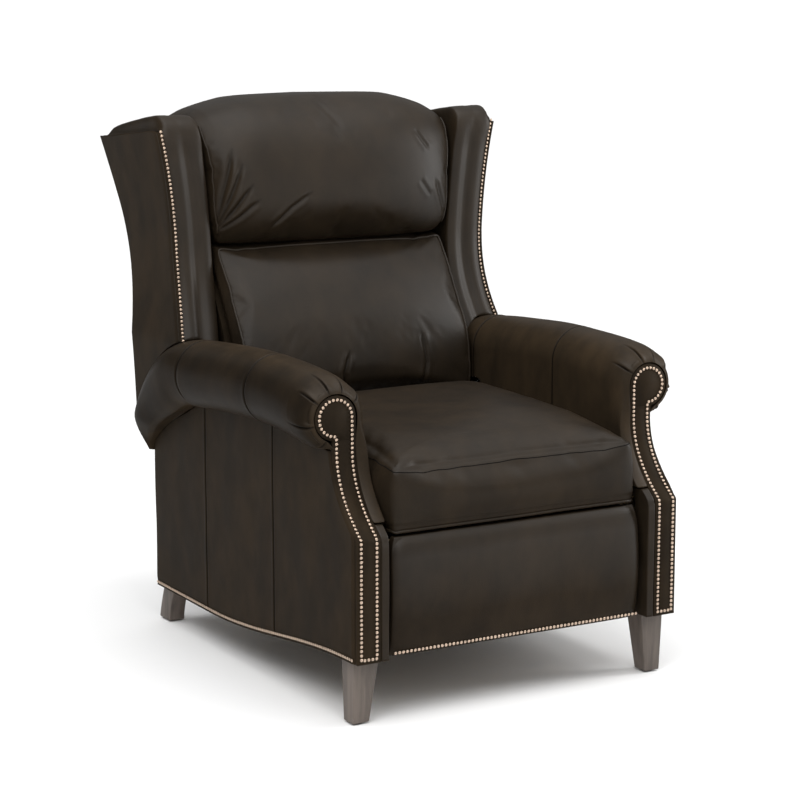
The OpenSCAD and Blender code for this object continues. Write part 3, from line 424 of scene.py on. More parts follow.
def material(key):
    """The chair's own finishes, made once each."""
    c = colours()
    if key not in MATERIALS:
        MATERIALS[key] = {
            "leather": lambda: leather_material("back_leather", 0.05, 0.47, shade=0.82),
            "leather_seat": lambda: leather_material("seat_leather", 0.05, 0.42, (-0.25, 0.7), shade=0.80),
            # painted light and shade: the arm leather is a lighter copy of the others, standing in for light
            # on the arms' inner sides and tops, and outer darkens their outward sides
            "leather_arm_painted_light_and_shade": lambda: leather_material("arm_leather_painted_light_and_shade", 0.02, 0.36, (0.0, 0.6), shade=1.38,
                                                    clouds=(0.41, 0.61), outer=0.55),
            "leather_rest": lambda: leather_material("footrest_leather", 0.05, 0.46, (-0.06, 0.12),
                                                     shade=0.78),
            "leather_side": lambda: leather_material("panel_leather", 0.03, roughness=0.55, shade=0.88,
                                                     clouds=(0.41, 0.61)),
            "stitch": lambda: cloth_material("sewn_seam", (0.004, 0.0035, 0.003)),
            "nail": lambda: metal_material("nail_bronze", tuple(c.nail), 0.36, 0.85),
            "leg": lambda: wood_material("grey_oak", tuple(c.oak), tuple(c.oak_dark), 2, 1.0, 0.55),
            "pine_x": lambda: pine("frame_timber_across", 0),
            "pine_y": lambda: pine("frame_timber_along", 1),
            "pine_z": lambda: pine("frame_timber_upright", 2),
            "steel": lambda: metal_material("black_steel", (0.06, 0.06, 0.063), 0.42, 0.55),
            "spring": lambda: metal_material("spring_steel", (0.25, 0.25, 0.26), 0.35, 0.95),
            "lining": lambda: cloth_material("black_lining", (0.02, 0.02, 0.021)),
            "glide": lambda: cloth_material("glide_felt", (0.05, 0.045, 0.04)),
        }[key]()
    return MATERIALS[key]


# ------------------------------------------------------------------ mesh helpers
def stations(low, high, step, fine, reach, spots=None):
    """Positions from low to high, a step apart, and closer together near the spots (or both ends)."""
    out, spots = [low], (low, high) if spots is None else spots
    while out[-1] < high:
        near = min(abs(out[-1] - s) for s in spots)
        share = clamp01((near - reach) / (step * 2))
        out.append(out[-1] + (fine if near < reach else mix(fine, step, share)))
    out[-1] = high
    if len(out) > 2 and out[-1] - out[-2] < step * 0.3:
        out.pop(-2)
    return out


def outwards(bm):
    """Turns the faces of a closed mesh to its outside, also where it is a thin bent shell."""
    bmesh.ops.recalc_face_normals(bm, faces=bm.faces[:])
    if bm.calc_volume(signed=True) < 0:
        bmesh.ops.reverse_faces(bm, faces=bm.faces[:])
    return bm


def grid_block(us, vs, ws, place):
    """A closed block of quads, with its corners at place(u, v, w) for the given stations."""
    bm = bmesh.new()
    nu, nv, nw = len(us) - 1, len(vs) - 1, len(ws) - 1
    bmesh.ops.create_grid(bm, x_segments=nu, y_segments=nv, size=1.0)
    for v in bm.verts:
        v.co.z = 0.0
    layer = bm.faces[:]
    for k in range(nw):
        made = bmesh.ops.extrude_face_region(bm, geom=layer, use_keep_orig=True)["geom"]
        lifted = [g for g in made if isinstance(g, bmesh.types.BMVert)]
        bmesh.ops.translate(bm, vec=(0, 0, 1.0), verts=lifted)
        if k:
            bmesh.ops.delete(bm, geom=layer, context="FACES")
        layer = [g for g in made if isinstance(g, bmesh.types.BMFace)]
    for v in bm.verts:
        i = round((v.co.x + 1) / 2 * nu)
        j = round((v.co.y + 1) / 2 * nv)
        v.co = place(us[i], vs[j], ws[round(v.co.z)])
    return outwards(bm)


def soften(bm, times, where=None):
    verts = [v for v in bm.verts if where is None or where(v)]
    for _ in range(times):
        bmesh.ops.smooth_vert(bm, verts=verts, factor=0.5, use_axis_x=True, use_axis_y=True, use_axis_z=True)


def pushed(bm, depth, painted_shade=None):
    """Moves each corner along its normal by depth(position, normal), and notes how much painted shade the
    seams, pleats and folds put there.
    """
    painted_crease_shade = bm.verts.layers.float.get("painted_crease_shade") or bm.verts.layers.float.new("painted_crease_shade")
    bm.normal_update()
    moves = [(v, v.normal.copy(), v.co.copy()) for v in bm.verts]
    for v, n, co in moves:
        v.co += n * depth(co, n)
        if painted_shade:
            v[painted_crease_shade] = clamp01(painted_shade(co, n))


def unrest(x, y, z):
    """Smooth unevenness between about -1 and 1."""
    return noise.noise(Vector((x, y, z)))


def mirrored(bm):
    bmesh.ops.scale(bm, vec=(-1, 1, 1), verts=bm.verts[:])
    return outwards(bm)


def mesh_of(bm, name):
    """The finished mesh of a working mesh, which is freed."""
    mesh = bpy.data.meshes.new(name)
    bm.to_mesh(mesh)
    bm.free()
    return mesh


def placed(name, data):
    """A new object in the scene."""
    thing = bpy.data.objects.new(name, data)
    bpy.context.scene.collection.objects.link(thing)
    return thing


def evaluated(thing):
    """The mesh of an object with its modifiers or its bevel applied."""
    bpy.context.view_layer.update()
    return bpy.data.meshes.new_from_object(thing.evaluated_get(bpy.context.evaluated_depsgraph_get()))


def keep(bm, name, body, key, nodes=(), slot="leather", fill=None):
    """Turns a mesh into a finished piece that rides on a body."""
    mesh = mesh_of(bm, name)
    for p in mesh.polygons:
        p.use_smooth = True
    piece = placed(name, mesh)
    mesh.materials.append(material(key))
    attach(piece, body)
    if nodes:
        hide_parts(*nodes)


def both(make, name, body, key, nodes=(), **more):
    """One piece for each side; make() gives the right-hand mesh."""
    for side in ("left", "right"):
        bm = make()
        if side == "left":
            mirrored(bm)
        keep(bm, f"{name}_{side}", body, key, [f"{n}_{side}" for n in nodes], **more)


def tube(points, radius):
    """A round tube along a path, as a mesh."""
    curve = bpy.data.curves.new("tube", "CURVE")
    curve.dimensions = "3D"
    curve.bevel_depth, curve.bevel_resolution = radius, 2
    curve.use_fill_caps = True
    spline = curve.splines.new("POLY")
    spline.points.add(len(points) - 1)
    for sp, p in zip(spline.points, points):
        sp.co = (*p, 1)
    holder = placed("tube", curve)
    mesh = evaluated(holder)
    bm = bmesh.new()
    bm.from_mesh(mesh)
    bmesh.ops.remove_doubles(bm, verts=bm.verts[:], dist=0.00005)
    bmesh.ops.recalc_face_normals(bm, faces=bm.faces[:])
    bpy.data.objects.remove(holder)
    bpy.data.curves.remove(curve)
    bpy.data.meshes.remove(mesh)
    return bm


def resampled(points, step, closed=False):
    """The path with its points an equal step apart."""
    p = np.array(list(points) + ([points[0]] if closed else []), float)
    lengths = lengths_along(p)
    at = np.linspace(0, lengths[-1], max(1, round(lengths[-1] / step)) + 1)
    if closed:
        at = at[:-1]
    return [Vector([float(np.interp(a, lengths, p[:, k])) for k in range(3)]) for a in at]


def joined(parts):
    """Several meshes as one."""
    whole = bmesh.new()
    for bm in parts:
        mesh = mesh_of(bm, "part")
        whole.from_mesh(mesh)
        bpy.data.meshes.remove(mesh)
    return whole


def nail_row(points, normal):
    """Domed nail heads at the given points, facing along normal(point)."""
    r = sizes().nail_r
    dome = bmesh.new()
    bmesh.ops.create_uvsphere(dome, u_segments=10, v_segments=6, radius=r)
    low = [v for v in dome.verts if v.co.z < -r * 0.30]
    bmesh.ops.delete(dome, geom=low, context="VERTS")
    bmesh.ops.scale(dome, vec=(1, 1, 0.62), verts=dome.verts[:])
    bmesh.ops.holes_fill(dome, edges=[e for e in dome.edges if e.is_boundary], sides=0)
    mesh = mesh_of(dome, "nail")
    whole = bmesh.new()
    for i, p in enumerate(points):
        start = len(whole.verts)
        whole.from_mesh(mesh)
        whole.verts.ensure_lookup_table()
        n = Vector(normal(p)).normalized()
        turn = n.to_track_quat("Z", "Y").to_matrix().to_4x4()
        wobble = Matrix.Rotation(0.10 * math.sin(i * 12.9898), 4, "X") @ Matrix.Rotation(
            0.10 * math.sin(i * 78.233), 4, "Y")
        bmesh.ops.transform(whole, matrix=Matrix.Translation(p) @ turn @ wobble, verts=whole.verts[start:])
    bpy.data.meshes.remove(mesh)
    return whole


# ------------------------------------------------------------------ soft shapes
def lengths_along(p):
    """Distance of each point of a path from its start."""
    return np.concatenate([[0], np.cumsum(np.linalg.norm(np.diff(p, axis=0), axis=1))])


def path_through(points):
    """A smooth path through points, as a function of 0 to 1 along its length."""
    p = np.array(points, float)
    at = lengths_along(p)
    return spline(at / at[-1], p)


def near_line(x, z, line):
    """Distance from (x, z) to a line of points, and how far along it the nearest place is."""
    best, share, run = 9.0, 0.0, 0.0
    total = sum(math.dist(a, b) for a, b in zip(line, line[1:]))
    for a, b in zip(line, line[1:]):
        part = math.dist(a, b)
        t = clamp01(((x - a[0]) * (b[0] - a[0]) + (z - a[1]) * (b[1] - a[1])) / (part * part))
        d = math.hypot(x - mix(a[0], b[0], t), z - mix(a[1], b[1], t))
        if d < best:
            best, share = d, (run + t * part) / total
        run += part
    return best, share


def crease(x, z, line, width, depth):
    """Depth of a fold: a narrow valley between two soft lips, dying away at its ends."""
    d, share = near_line(x, z, line)
    if d > width * 5:
        return 0.0
    ends = smooth(min(share, 1 - share) * 5)
    return ends * depth * (0.45 * bump(d - width * 1.9, width * 1.2) - bump(d, width * 0.8))


def corners(mesh):
    """The places of a mesh's corners, one row each."""
    at = np.empty(len(mesh.vertices) * 3)
    mesh.vertices.foreach_get("co", at)
    return at.reshape(-1, 3)


PUFF_FRAMES = 20


def puffed(bm, voxel, cap, pressure, held):
    """Swells a closed mesh as stuffed leather, up to the cap; held(position) is true where it is fixed."""
    mesh = mesh_of(bm, "stuffing")
    body = placed("stuffing", mesh)
    grain = body.modifiers.new("grain", "REMESH")
    grain.mode, grain.voxel_size = "VOXEL", voxel
    even = evaluated(body)
    body.modifiers.clear()
    body.data = even
    start = corners(even)
    body.vertex_groups.new(name="held").add([i for i, co in enumerate(start) if held(co)], 1.0, "REPLACE")
    cloth = body.modifiers.new("fill", "CLOTH")
    leather = cloth.settings
    leather.quality, leather.mass = 5, 0.35
    leather.tension_stiffness = leather.compression_stiffness = 14
    leather.shear_stiffness, leather.bending_stiffness = 6, 1.2
    leather.use_pressure, leather.uniform_pressure_force = True, pressure
    leather.effector_weights.gravity = 0
    leather.vertex_group_mass = "held"
    cloth.collision_settings.use_self_collision = False
    for f in range(1, PUFF_FRAMES + 1):
        bpy.context.scene.frame_set(f)
    swollen = evaluated(body)
    move = corners(swollen) - start
    far = np.linalg.norm(move, axis=1, keepdims=True)
    end = start + move * (np.minimum(far, cap) / np.maximum(far, 1e-9))
    swollen.vertices.foreach_set("co", end.reshape(-1))
    body.modifiers.clear()
    body.data = swollen
    fine = body.modifiers.new("fine", "SUBSURF")
    fine.levels = fine.render_levels = 1
    skin = evaluated(body)
    out = bmesh.new()
    out.from_mesh(skin)
    bpy.data.objects.remove(body)
    for m in (mesh, even, swollen, skin):
        bpy.data.meshes.remove(m)
    bpy.context.scene.frame_set(1)
    soften(out, 3)
    return outwards(out)


def settled(bm, low, high):
    """Keeps a swollen piece inside the space it has."""
    for v in bm.verts:
        v.co = [min(max(c, a), b) for c, a, b in zip(v.co, low, high)]


def nearest_on(tree, points, lift):
    """The points moved to the nearest place on a surface, and lifted off it."""
    out = []
    for p in points:
        co, normal = tree.find_nearest(Vector(p))[:2]
        out.append(co + normal * lift)
    return out


# ------------------------------------------------------------------ arms
ROLL_FRONT_Y = FACING_Y - 0.0010
PLEAT_SHARES = [(0.0, 0.68), (0.0020, 0.755), (0.005, 0.83), (0.010, 0.89), (0.017, 0.94), (0.026, 0.976),
                (0.036, 0.994), (0.046, 1.0)]
PLEATS = [(-64, 0.9), (-15, 1.0), (38, 1.0), (74, 0.75), (106, 0.95), (146, 1.0)]
PLEAT_LOW_Z = 0.52
SIDE_SEAM_Y = -0.186
RING_SEAMS = (SIDE_SEAM_Y, HINGE_Y + 0.0085)
PANEL_SEAMS = (SIDE_SEAM_Y, 0.130)
LINING_Z = 0.3955
TAIL_DEG, TAIL_STEP = 88, 0.22  # end of the tail, and its length along the roll for each radian


def tail_turn(v):
    """Angle about the hinge of a place along the roll, in degrees."""
    return math.degrees((v - HINGE_Y) / TAIL_STEP)


def roll_station(v):
    """Centre, up direction and radii of the arm roll at a place along it."""
    if v <= HINGE_Y:
        share = float(np.interp(v - ROLL_FRONT_Y, [p[0] for p in PLEAT_SHARES], [p[1] for p in PLEAT_SHARES]))
        return (v, roll_z(v)), (0.0, 1.0), ROLL_R * share, ROLL_R * share
    a = tail_turn(v)
    half = (ARC_OUT - arc_in(a)) / (1 + UNDER)
    wide = ROLL_R * mix(1, 0.66, tail_share(a) ** 1.4)
    wide *= 1 - 0.84 * clamp01((a - 69) / (TAIL_DEG - 69)) ** 1.45
    half *= 1 - 0.30 * clamp01((a - 84) / (TAIL_DEG - 84)) ** 2
    up = (math.sin(math.radians(a)), math.cos(math.radians(a)))
    return about_hinge(ARC_OUT - half, a), up, wide, half


def roll_place(u, v, w):
    """Corner of the roll's shell: u goes round it in degrees, v along it, w into it.

    Below -64 it is the underside, from 180 the lining that hangs down inside."""
    (cy, cz), up, across, tall = roll_station(v)
    reach = v - ROLL_FRONT_Y
    t = w * mix(0.0022, 0.012, smooth((reach - 0.006) / 0.006))
    if u < -64:
        s = (u + 90) / 26
        x = mix(-0.010, 0.438 * across, s)
        h = -UNDER * mix(ROLL_R if v < HINGE_Y else tall, tall, smooth(s * 1.4 - 0.4)) + t
    elif u <= 180:
        a = math.radians(u)
        turn = tail_turn(v)
        square = mix(1, 0.8, smooth(turn / 15)) if 0 < u < 90 else 1
        x = (across - t) * math.copysign(abs(math.cos(a)) ** square, math.cos(a))
        h = max((tall - t) * math.copysign(abs(math.sin(a)) ** square, math.sin(a)), -UNDER * tall + t)
        late = tail_share(turn)
        swell = 0.45 * ROLL_R * late ** 2 * (1 - late ** 8) * clamp01((x / across - 0.72) / 0.28)
        h = min(h + swell, max(h, tall - 0.0030))
    else:
        s = (u - 180) / 100
        drop, face, inner = UNDER * tall, across, t
        if v < HINGE_Y:
            drop = mix(cz - LINING_Z, drop, smooth((v - 0.078) / 0.012))
        if v < 0:
            face = mix(across, ROLL_R, smooth(s * 2.6))
        if v < 0.09:
            inner = mix(t, w * mix(0.0272, 0.0225, smooth((reach - 0.0070) / 0.003)), smooth(s * 3))
        x, h = -face + inner, -drop * s
    y, z = cy + up[0] * h, cz + up[1] * h
    if v < LEAN_END_Y:
        y = mix(lean_y(z) - 0.0010, LEAN_END_Y, reach / (LEAN_END_Y - ROLL_FRONT_Y))
    return ARM_X + x, y, z


def pleats(angle, reach):
    """Offset of the leather at an arm's front, and the painted shade in its creases: flats between sharp
    creases that fade.
    """
    rim = smooth(0.3 + reach / 0.012)
    flat = clamp01(1 - reach / 0.062) * rim
    out, dark = 0.0, 0.0
    for (a, _), (b, _) in zip(PLEATS, PLEATS[1:]):
        if a < angle < b:
            half, off = math.radians((b - a) / 2), math.radians(angle - (a + b) / 2)
            out -= min(ROLL_R * (1 - math.cos(half) / math.cos(off)), 0.0075) * flat
    for k, (a, strength) in enumerate(PLEATS):
        d = math.radians(angle - a) * ROLL_R
        if abs(d) > 0.02:
            continue
        fade = clamp01(1 - reach / (0.060 + 0.012 * math.sin(k * 2.3))) ** 1.2 * rim * strength
        side = 1 if a < 90 else -1
        out -= fade * sizes().pleat_depth * (bump(d, 0.0020) - 0.40 * bump(d * side - 0.0062, 0.0050)
                                             - 0.12 * bump(d * side + 0.0050, 0.0040))
        # painted shade along each crease
        dark = max(dark, fade ** 0.5 * bump(d, 0.0023))
    return out, dark


def roll_angle(co):
    """Angle round the roll's own centre, in degrees."""
    angle = math.degrees(math.atan2(co.z - roll_z(min(co.y, HINGE_Y)), co.x - ARM_X))
    return angle + 360 if angle < -100 else angle


def roll_along(co):
    """Place along the roll, as roll_station takes it."""
    return co.y if co.y < HINGE_Y else HINGE_Y + TAIL_STEP * math.atan2(co.y - HINGE_Y, co.z - HINGE_Z)


def is_outer(co, n):
    """True on the shown side of the arm roll's shell."""
    (cy, cz), up, _, _ = roll_station(max(roll_along(co), ROLL_FRONT_Y))
    h = (co.y - cy) * up[0] + (co.z - cz) * up[1]
    return n.x * (co.x - ARM_X) + (n.y * up[0] + n.z * up[1]) * h > 0


def pleats_at(co):
    """The pleats' offset and darkness at a place on the roll."""
    if co.y >= LEAN_END_Y or co.z <= PLEAT_LOW_Z:
        return 0.0, 0.0
    return pleats(roll_angle(co), max(co.y - ROLL_FRONT_Y, 0.0))


def groove(d, width, lip, reach):
    """Depth at distance d from a plain seam, a narrow valley between two low lips."""
    return sizes().seam_depth * (bump(d, width) - lip * bump(abs(d) - reach, 0.004))


def roll_relief(co, normal):
    """Pleats gathered to the facing, ring seams and slack in the leather of the arm roll."""
    if not is_outer(co, normal):
        return 0.0
    slack = 0.0020 * unrest(co.x * 5, co.y * 7, co.z * 5)
    out = slack if co.y < HINGE_Y else -abs(slack)
    out += pleats_at(co)[0]
    along = roll_along(co)
    for s in RING_SEAMS:
        out -= groove(along - s, 0.0020, 0.12, 0.0070)
    return out


def roll_crease_shade(co, normal):
    """Painted shade of the seams and pleats at a place on the roll."""
    seam = max(bump(roll_along(co) - s, 0.0026) for s in RING_SEAMS)
    return max(seam, 0.95 * pleats_at(co)[1])


def arm_roll_mesh():
    """Rolled arm pad with its pleated front, its lining and its thin tail round the hinge."""
    us = [-90, -84, -78, -71, -67] + stations(-64, 180, 2.8, 0.8, 5.5, [p[0] for p in PLEATS])
    us += [180 + 100 * s for s in (0.04, 0.08, 0.13, 0.19, 0.25, 0.32, 0.40, 0.48, 0.56, 0.64, 0.72, 0.80,
                                   0.88, 0.94, 0.97, 0.985, 1)]
    end = HINGE_Y + math.radians(TAIL_DEG) * TAIL_STEP
    vs = stations(ROLL_FRONT_Y, end, 0.009, 0.0009, 0.006, (ROLL_FRONT_Y, end) + RING_SEAMS)
    front = list(np.arange(ROLL_FRONT_Y + 0.002, ROLL_FRONT_Y + 0.085, 0.0026))
    vs = [v for v in vs if v < front[0] or v > front[-1] + 0.002] + front
    bm = grid_block(us, sorted(vs), [0, 0.5, 1], roll_place)
    soften(bm, 2)
    pushed(bm, roll_relief, roll_crease_shade)
    return bm


def panel_mesh():
    """Outside arm panel: flat, with an ogee hem, a toe-in and two upright seams."""
    edge_r = 0.0085
    us = stations(FRONT_Y, BASE_REAR_Y, 0.012, 0.0010, 0.007, (FRONT_Y, BASE_REAR_Y) + PANEL_SEAMS)
    vs = stations(0.0, 1.0, 0.035, 0.005, 0.02)

    def place(u, v, w):
        z = mix(hem_z(u), panel_top(u), v)
        y = u
        if u < LEAN_END_Y:
            y = mix(lean_y(z) + FACING_T, LEAN_END_Y, (u - FRONT_Y) / (LEAN_END_Y - FRONT_Y))
            z = mix(hem_z(y), panel_top(max(y, FACING_Y)), v)
        turned = edge_r * (1 - math.sqrt(1 - clamp01(1 - (u - FRONT_Y) / edge_r) ** 2)) * (1 - w)
        return panel_x(y) - turned - SIDE_T * w, y, z

    bm = grid_block(us, vs, [0, 0.5, 1], place)
    soften(bm, 1)

    def relief(co, n):
        if n.x < 0.5:
            return 0.0
        out = -sum(groove(co.y - s, 0.0018, 0.15, 0.0060) for s in PANEL_SEAMS)
        height = clamp01((co.z - hem_z(co.y)) / max(panel_top(co.y) - hem_z(co.y), 0.01))
        out -= 0.0016 * bump(co.z - hem_z(co.y) - 0.0085, 0.008)
        out += 0.0022 * math.sin(math.pi * height) * unrest(3, co.y * 4.5, co.z * 3.5)
        out += 0.0010 * math.sin(math.pi * height) * unrest(9, co.y * 16, co.z * 7)
        return out

    # painted shade along the two upright seams
    pushed(bm, relief, lambda co, n: max(bump(co.y - s, 0.0026) for s in PANEL_SEAMS))
    return bm


def hem_nails():
    ys = np.linspace(FRONT_Y + 0.013, BASE_REAR_Y - 0.006, 160)
    line = [(panel_x(y), y, hem_z(y) + sizes().nail_inset) for y in ys]
    return nail_row(resampled(line, sizes().nail_pitch), lambda p: (1.0, 0.013, 0.0))


def keyhole_outline(grow=0.0):
    """Outline of the keyhole facing: round the roll from its inner side, down, across and up again."""
    zc = roll_z(FACING_Y)
    r = KEYHOLE_R + grow
    left, right = ARM_X - KEYHOLE_R - grow, ARM_X - KEYHOLE_R + COLUMN_W + grow
    neck = -math.degrees(math.acos(clamp01((right - ARM_X) / r)))
    ring = [(ARM_X + r * math.cos(math.radians(a)), zc + r * math.sin(math.radians(a)))
            for a in np.linspace(180, neck, 56)]
    down = [(right, z) for z in np.linspace(ring[-1][1], HEM_FRONT_Z - grow, 60)[1:]]
    across = [(x, HEM_FRONT_Z - grow) for x in np.linspace(right, left, 9)[1:]]
    up = [(left, z) for z in np.linspace(HEM_FRONT_Z - grow, zc, 66)[1:-1]]
    return ring + down + across + up


def facing_mesh():
    """Keyhole facing: a thin padded board that leans back to the roll."""
    line = keyhole_outline()
    bm = bmesh.new()
    lift = bm.verts.layers.float.new("lift")
    bmesh.ops.create_circle(bm, cap_ends=True, radius=1.0, segments=len(line))
    for v in bm.verts:
        share = round(len(line) * (math.atan2(v.co.x, v.co.y) / (2 * math.pi))) % len(line)
        x, z = line[share]
        v.co = (x, 0, z)
    for step, rise in ((0.0012, 0.0024), (0.0015, 0.0040), (0.0020, 0.0052), (0.0035, 0.0060),
                       (0.0060, 0.0062)):
        inner = [max(bm.faces, key=lambda f: f.calc_area())]
        bmesh.ops.inset_region(bm, faces=inner, thickness=step, use_even_offset=True)
        for v in max(bm.faces, key=lambda f: f.calc_area()).verts:
            v[lift] = rise
    for z in np.arange(0.140, 0.640, 0.010):
        bmesh.ops.bisect_plane(bm, geom=bm.verts[:] + bm.edges[:] + bm.faces[:], dist=1e-6,
                               plane_co=(0, 0, z), plane_no=(0, 0, 1))
    made = bmesh.ops.extrude_face_region(bm, geom=bm.faces[:], use_keep_orig=True)["geom"]
    back = {v for v in made if isinstance(v, bmesh.types.BMVert)}
    for v in bm.verts:
        v.co.y = lean_y(v.co.z) + (0.0080 if v in back else 0.0060 - v[lift])
    return outwards(bm)


def facing_nails():
    line = [(x, lean_y(z) - 0.0006, z) for x, z in keyhole_outline(-sizes().nail_inset)]
    spots = resampled(line, sizes().nail_pitch, closed=True)
    return nail_row(spots, lambda p: (0.0, -1.0, (lean_y(p[2] + 0.002) - lean_y(p[2] - 0.002)) / 0.004))


def post_mesh():
    """Leather wrapped round the front post: a padded band beside the facing, and the post behind it."""
    inner, edge, outer = 0.3032, 0.3213, 0.3638
    upper_in, top, upper_low = 0.3180, 0.3925, 0.3935
    us = stations(inner, outer, 0.012, 0.0015, 0.006, (inner, edge, outer))
    vs = stations(HEM_FRONT_Z, top, 0.012, 0.002, 0.008)
    deep = [0, 0.06, 0.14, 0.22, 0.3, 0.6, 0.9, 0.96, 1]

    def place(u, v, w):
        proud = smooth((0.3216 - u) / 0.0012)
        front = mix(FACING_T, -0.0008, proud)
        return u, lean_y(v) + mix(front, 0.0483, w), v

    bm = grid_block(us, vs, deep, place)
    soften(bm, 2)
    us = stations(upper_in, outer, 0.012, 0.002, 0.006)
    vs = stations(upper_low, roll_z(FACING_Y) - UNDER * ROLL_R - 0.0010, 0.012, 0.002, 0.006, (upper_low,))
    upper = grid_block(us, vs, [0, 0.1, 0.5, 0.9, 1],
                       lambda u, v, w: (u, lean_y(v) + FACING_T + 0.040 * w, v))
    soften(upper, 1)
    whole = joined([bm, upper])
    pushed(whole, lambda co, n: 0.0010 * unrest(co.x * 20, 2, co.z * 9))
    return whole


# ------------------------------------------------------------------ seat and footrest
SEAT_LOW, SEAT_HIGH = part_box("seat_cushion")
LUMBAR_LOW, LUMBAR_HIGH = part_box("lumbar_cushion")
REST_LOW, REST_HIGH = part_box("footrest_pad")
SEAT_ROOM = (-0.2905, -0.5165, SEAT_LOW.z), (0.2905, 0.094, 0.552)
LUMBAR_ROOM = (-0.2885, 0.075, LUMBAR_LOW.z - 0.004), (0.2885, math.inf, LUMBAR_HIGH.z + 0.003)
SEAT_EDGE_X, SEAT_EDGE_REAR_Y = 0.2885, 0.080
PATH_STEP = 0.006


def seat_seam_z(y):
    """Height of the seam between the seat's border and its top."""
    t = clamp01((y - SEAT_LOW.y) / (SEAT_HIGH.y - SEAT_LOW.y))
    return mix(0.500, 0.536, 1 - (1 - clamp01(1.25 * t)) ** 2.4)


def seat_mesh():
    """Seat cushion before it is swollen: a border with a crowned top."""
    shrink = 0.006
    us = stations(-1, 1, 0.05, 0.012, 0.03)
    ws = [0, 0.06, 0.2, 0.4, 0.6, 0.8, 0.94, 1]

    def place(u, v, w):
        half = (SEAT_HIGH.x - SEAT_LOW.x) / 2 - shrink
        y = mix(SEAT_LOW.y + shrink, SEAT_HIGH.y - shrink, (v + 1) / 2)
        crown = (1 - abs(u) ** 3.4) * (1 - abs(v) ** (2.4 if v < 0 else 5))
        seam = seat_seam_z(y) - 0.004
        top = mix(seam, max(seam, SEAT_HIGH.z - 0.004), crown)
        pinch = 1 - 0.006 * (abs(w * 2 - 1) ** 3)
        return half * u * pinch, y, mix(SEAT_LOW.z, top, w)

    bm = grid_block(us, us, ws, place)
    soften(bm, 3)
    bm = puffed(bm, 0.0065, 0.012, 1.2, lambda co: co[2] < SEAT_LOW.z + 0.010)
    settled(bm, *SEAT_ROOM)
    soften(bm, 4)
    soften(bm, 8, where=lambda v: v.co.z > SEAT_LOW.z + 0.03 and v.co.y < SEAT_LOW.y + 0.05)
    return bm


def seat_relief(co, n):
    """Sewn front seam, side seams and the slack folds of the seat leather."""
    out = 0.0
    if co.z > SEAT_LOW.z + 0.02 and (n.y < -0.25 or abs(n.x) > 0.25):
        y = SEAT_LOW.y if n.y < -0.25 else co.y
        out -= 0.0022 * bump(co.z - seat_seam_z(y) + 0.004, 0.0045)
        out += 0.0030 * math.sin(math.pi * clamp01((co.z - SEAT_LOW.z) / (seat_seam_z(y) - SEAT_LOW.z)))
    if n.y < -0.25:
        out += 0.0016 * unrest(co.x * 7, 1.0, co.z * 6)
    if n.z > 0.3:
        out += 0.0024 * unrest(co.x * 5, co.y * 4, 3.0)
    return out


def seat_seam(tree):
    """The sewn line where the top of the seat meets its border."""
    path = rounded_path(SEAT_EDGE_X, -0.5150, SEAT_EDGE_REAR_Y, 0.0)
    path = [(x, y, seat_seam_z(max(y, SEAT_LOW.y)) - 0.004) for x, y, _ in resampled(path, PATH_STEP)]
    return tube(nearest_on(tree, path, -0.0002), 0.0010)


def with_mirror(path):
    """A path on one side, and on along its mirror image."""
    return path + [(-x, y, z) for x, y, z in path[::-1]]


def rounded_path(x, y_front, y_rear, z):
    """A path from the rear of one side, round the front and back along the other side."""
    r = 0.03
    turn = [(-x + r - r * math.cos(a), y_front + r - r * math.sin(a), z)
            for a in np.linspace(0, math.pi / 2, 7)]
    return with_mirror([(-x, y_rear, z)] + turn)


def footrest_nails():
    y, z = REST_LOW.y + 0.0036, REST_LOW.z + 0.0075
    spots = resampled([(-0.2835, y, z), (0.2835, y, z)], sizes().nail_pitch)
    return nail_row(spots, lambda p: (0, -1, -0.05))


def footrest_mesh():
    """Padded footrest panel with rounded upper corners."""
    cx, cz = (REST_LOW.x + REST_HIGH.x) / 2, (REST_LOW.z + REST_HIGH.z) / 2 + 0.0018
    hx, hz = (REST_HIGH.x - REST_LOW.x) / 2, (REST_HIGH.z - REST_LOW.z) / 2 + 0.0018
    us = stations(-1, 1, 0.03, 0.004, 0.05)
    vs = stations(-1, 1, 0.05, 0.010, 0.12)

    def place(u, v, w):
        x, z = cx + hx * u, cz + hz * v
        if v > 0.4:
            x -= cx + hx * u * 0.035 * ((v - 0.4) / 0.6) ** 3
        round_off = 0.012 * min(abs(u) ** 22 + max(v, 0) ** 9 + 0.35 * max(-v, 0) ** 12, 1)
        y = mix(REST_LOW.y - 0.0055 + round_off + 0.0085 * v * v, REST_HIGH.y, w)
        return x, y, z

    bm = grid_block(us, vs, [0, 0.12, 0.3, 0.6, 0.9, 1], place)
    soften(bm, 3)

    def relief(co, n):
        if n.y > -0.4:
            return 0.0
        return (0.0018 * unrest(co.x * 7, 4.0, co.z * 7)
                - 0.0018 * bump(co.z - REST_LOW.z - sizes().nail_inset, 0.009))

    pushed(bm, relief)
    return bm


# ------------------------------------------------------------------ back cushions
def lumbar_mesh():
    """Lumbar cushion: upright border, crowned front that follows the back's bend."""
    us = stations(-1, 1, 0.05, 0.012, 0.04)
    vs = stations(-1, 1, 0.07, 0.016, 0.05)
    low, high = LUMBAR_LOW.z + 0.003, LUMBAR_HIGH.z + 0.0015
    depth = 0.066

    def place(u, v, w):
        z = mix(low, high, (v + 1) / 2)
        bulge = 0.020 * (1 - abs(u) ** 2.6) * clamp01((z - 0.542) / 0.1) * (1 - abs(v) ** 6)
        y = lumbar_y(z) + 0.004 - bulge * (1 - w) + depth * w
        return (LUMBAR_HIGH.x - 0.005) * u, y, z

    bm = grid_block(us, vs, [0, 0.15, 0.4, 0.7, 1], place)
    soften(bm, 3)
    bm = puffed(bm, 0.006, 0.012, 1.4, lambda co: co[1] > lumbar_y(co[2]) + depth - 0.006)
    settled(bm, *LUMBAR_ROOM)
    soften(bm, 1)
    return bm


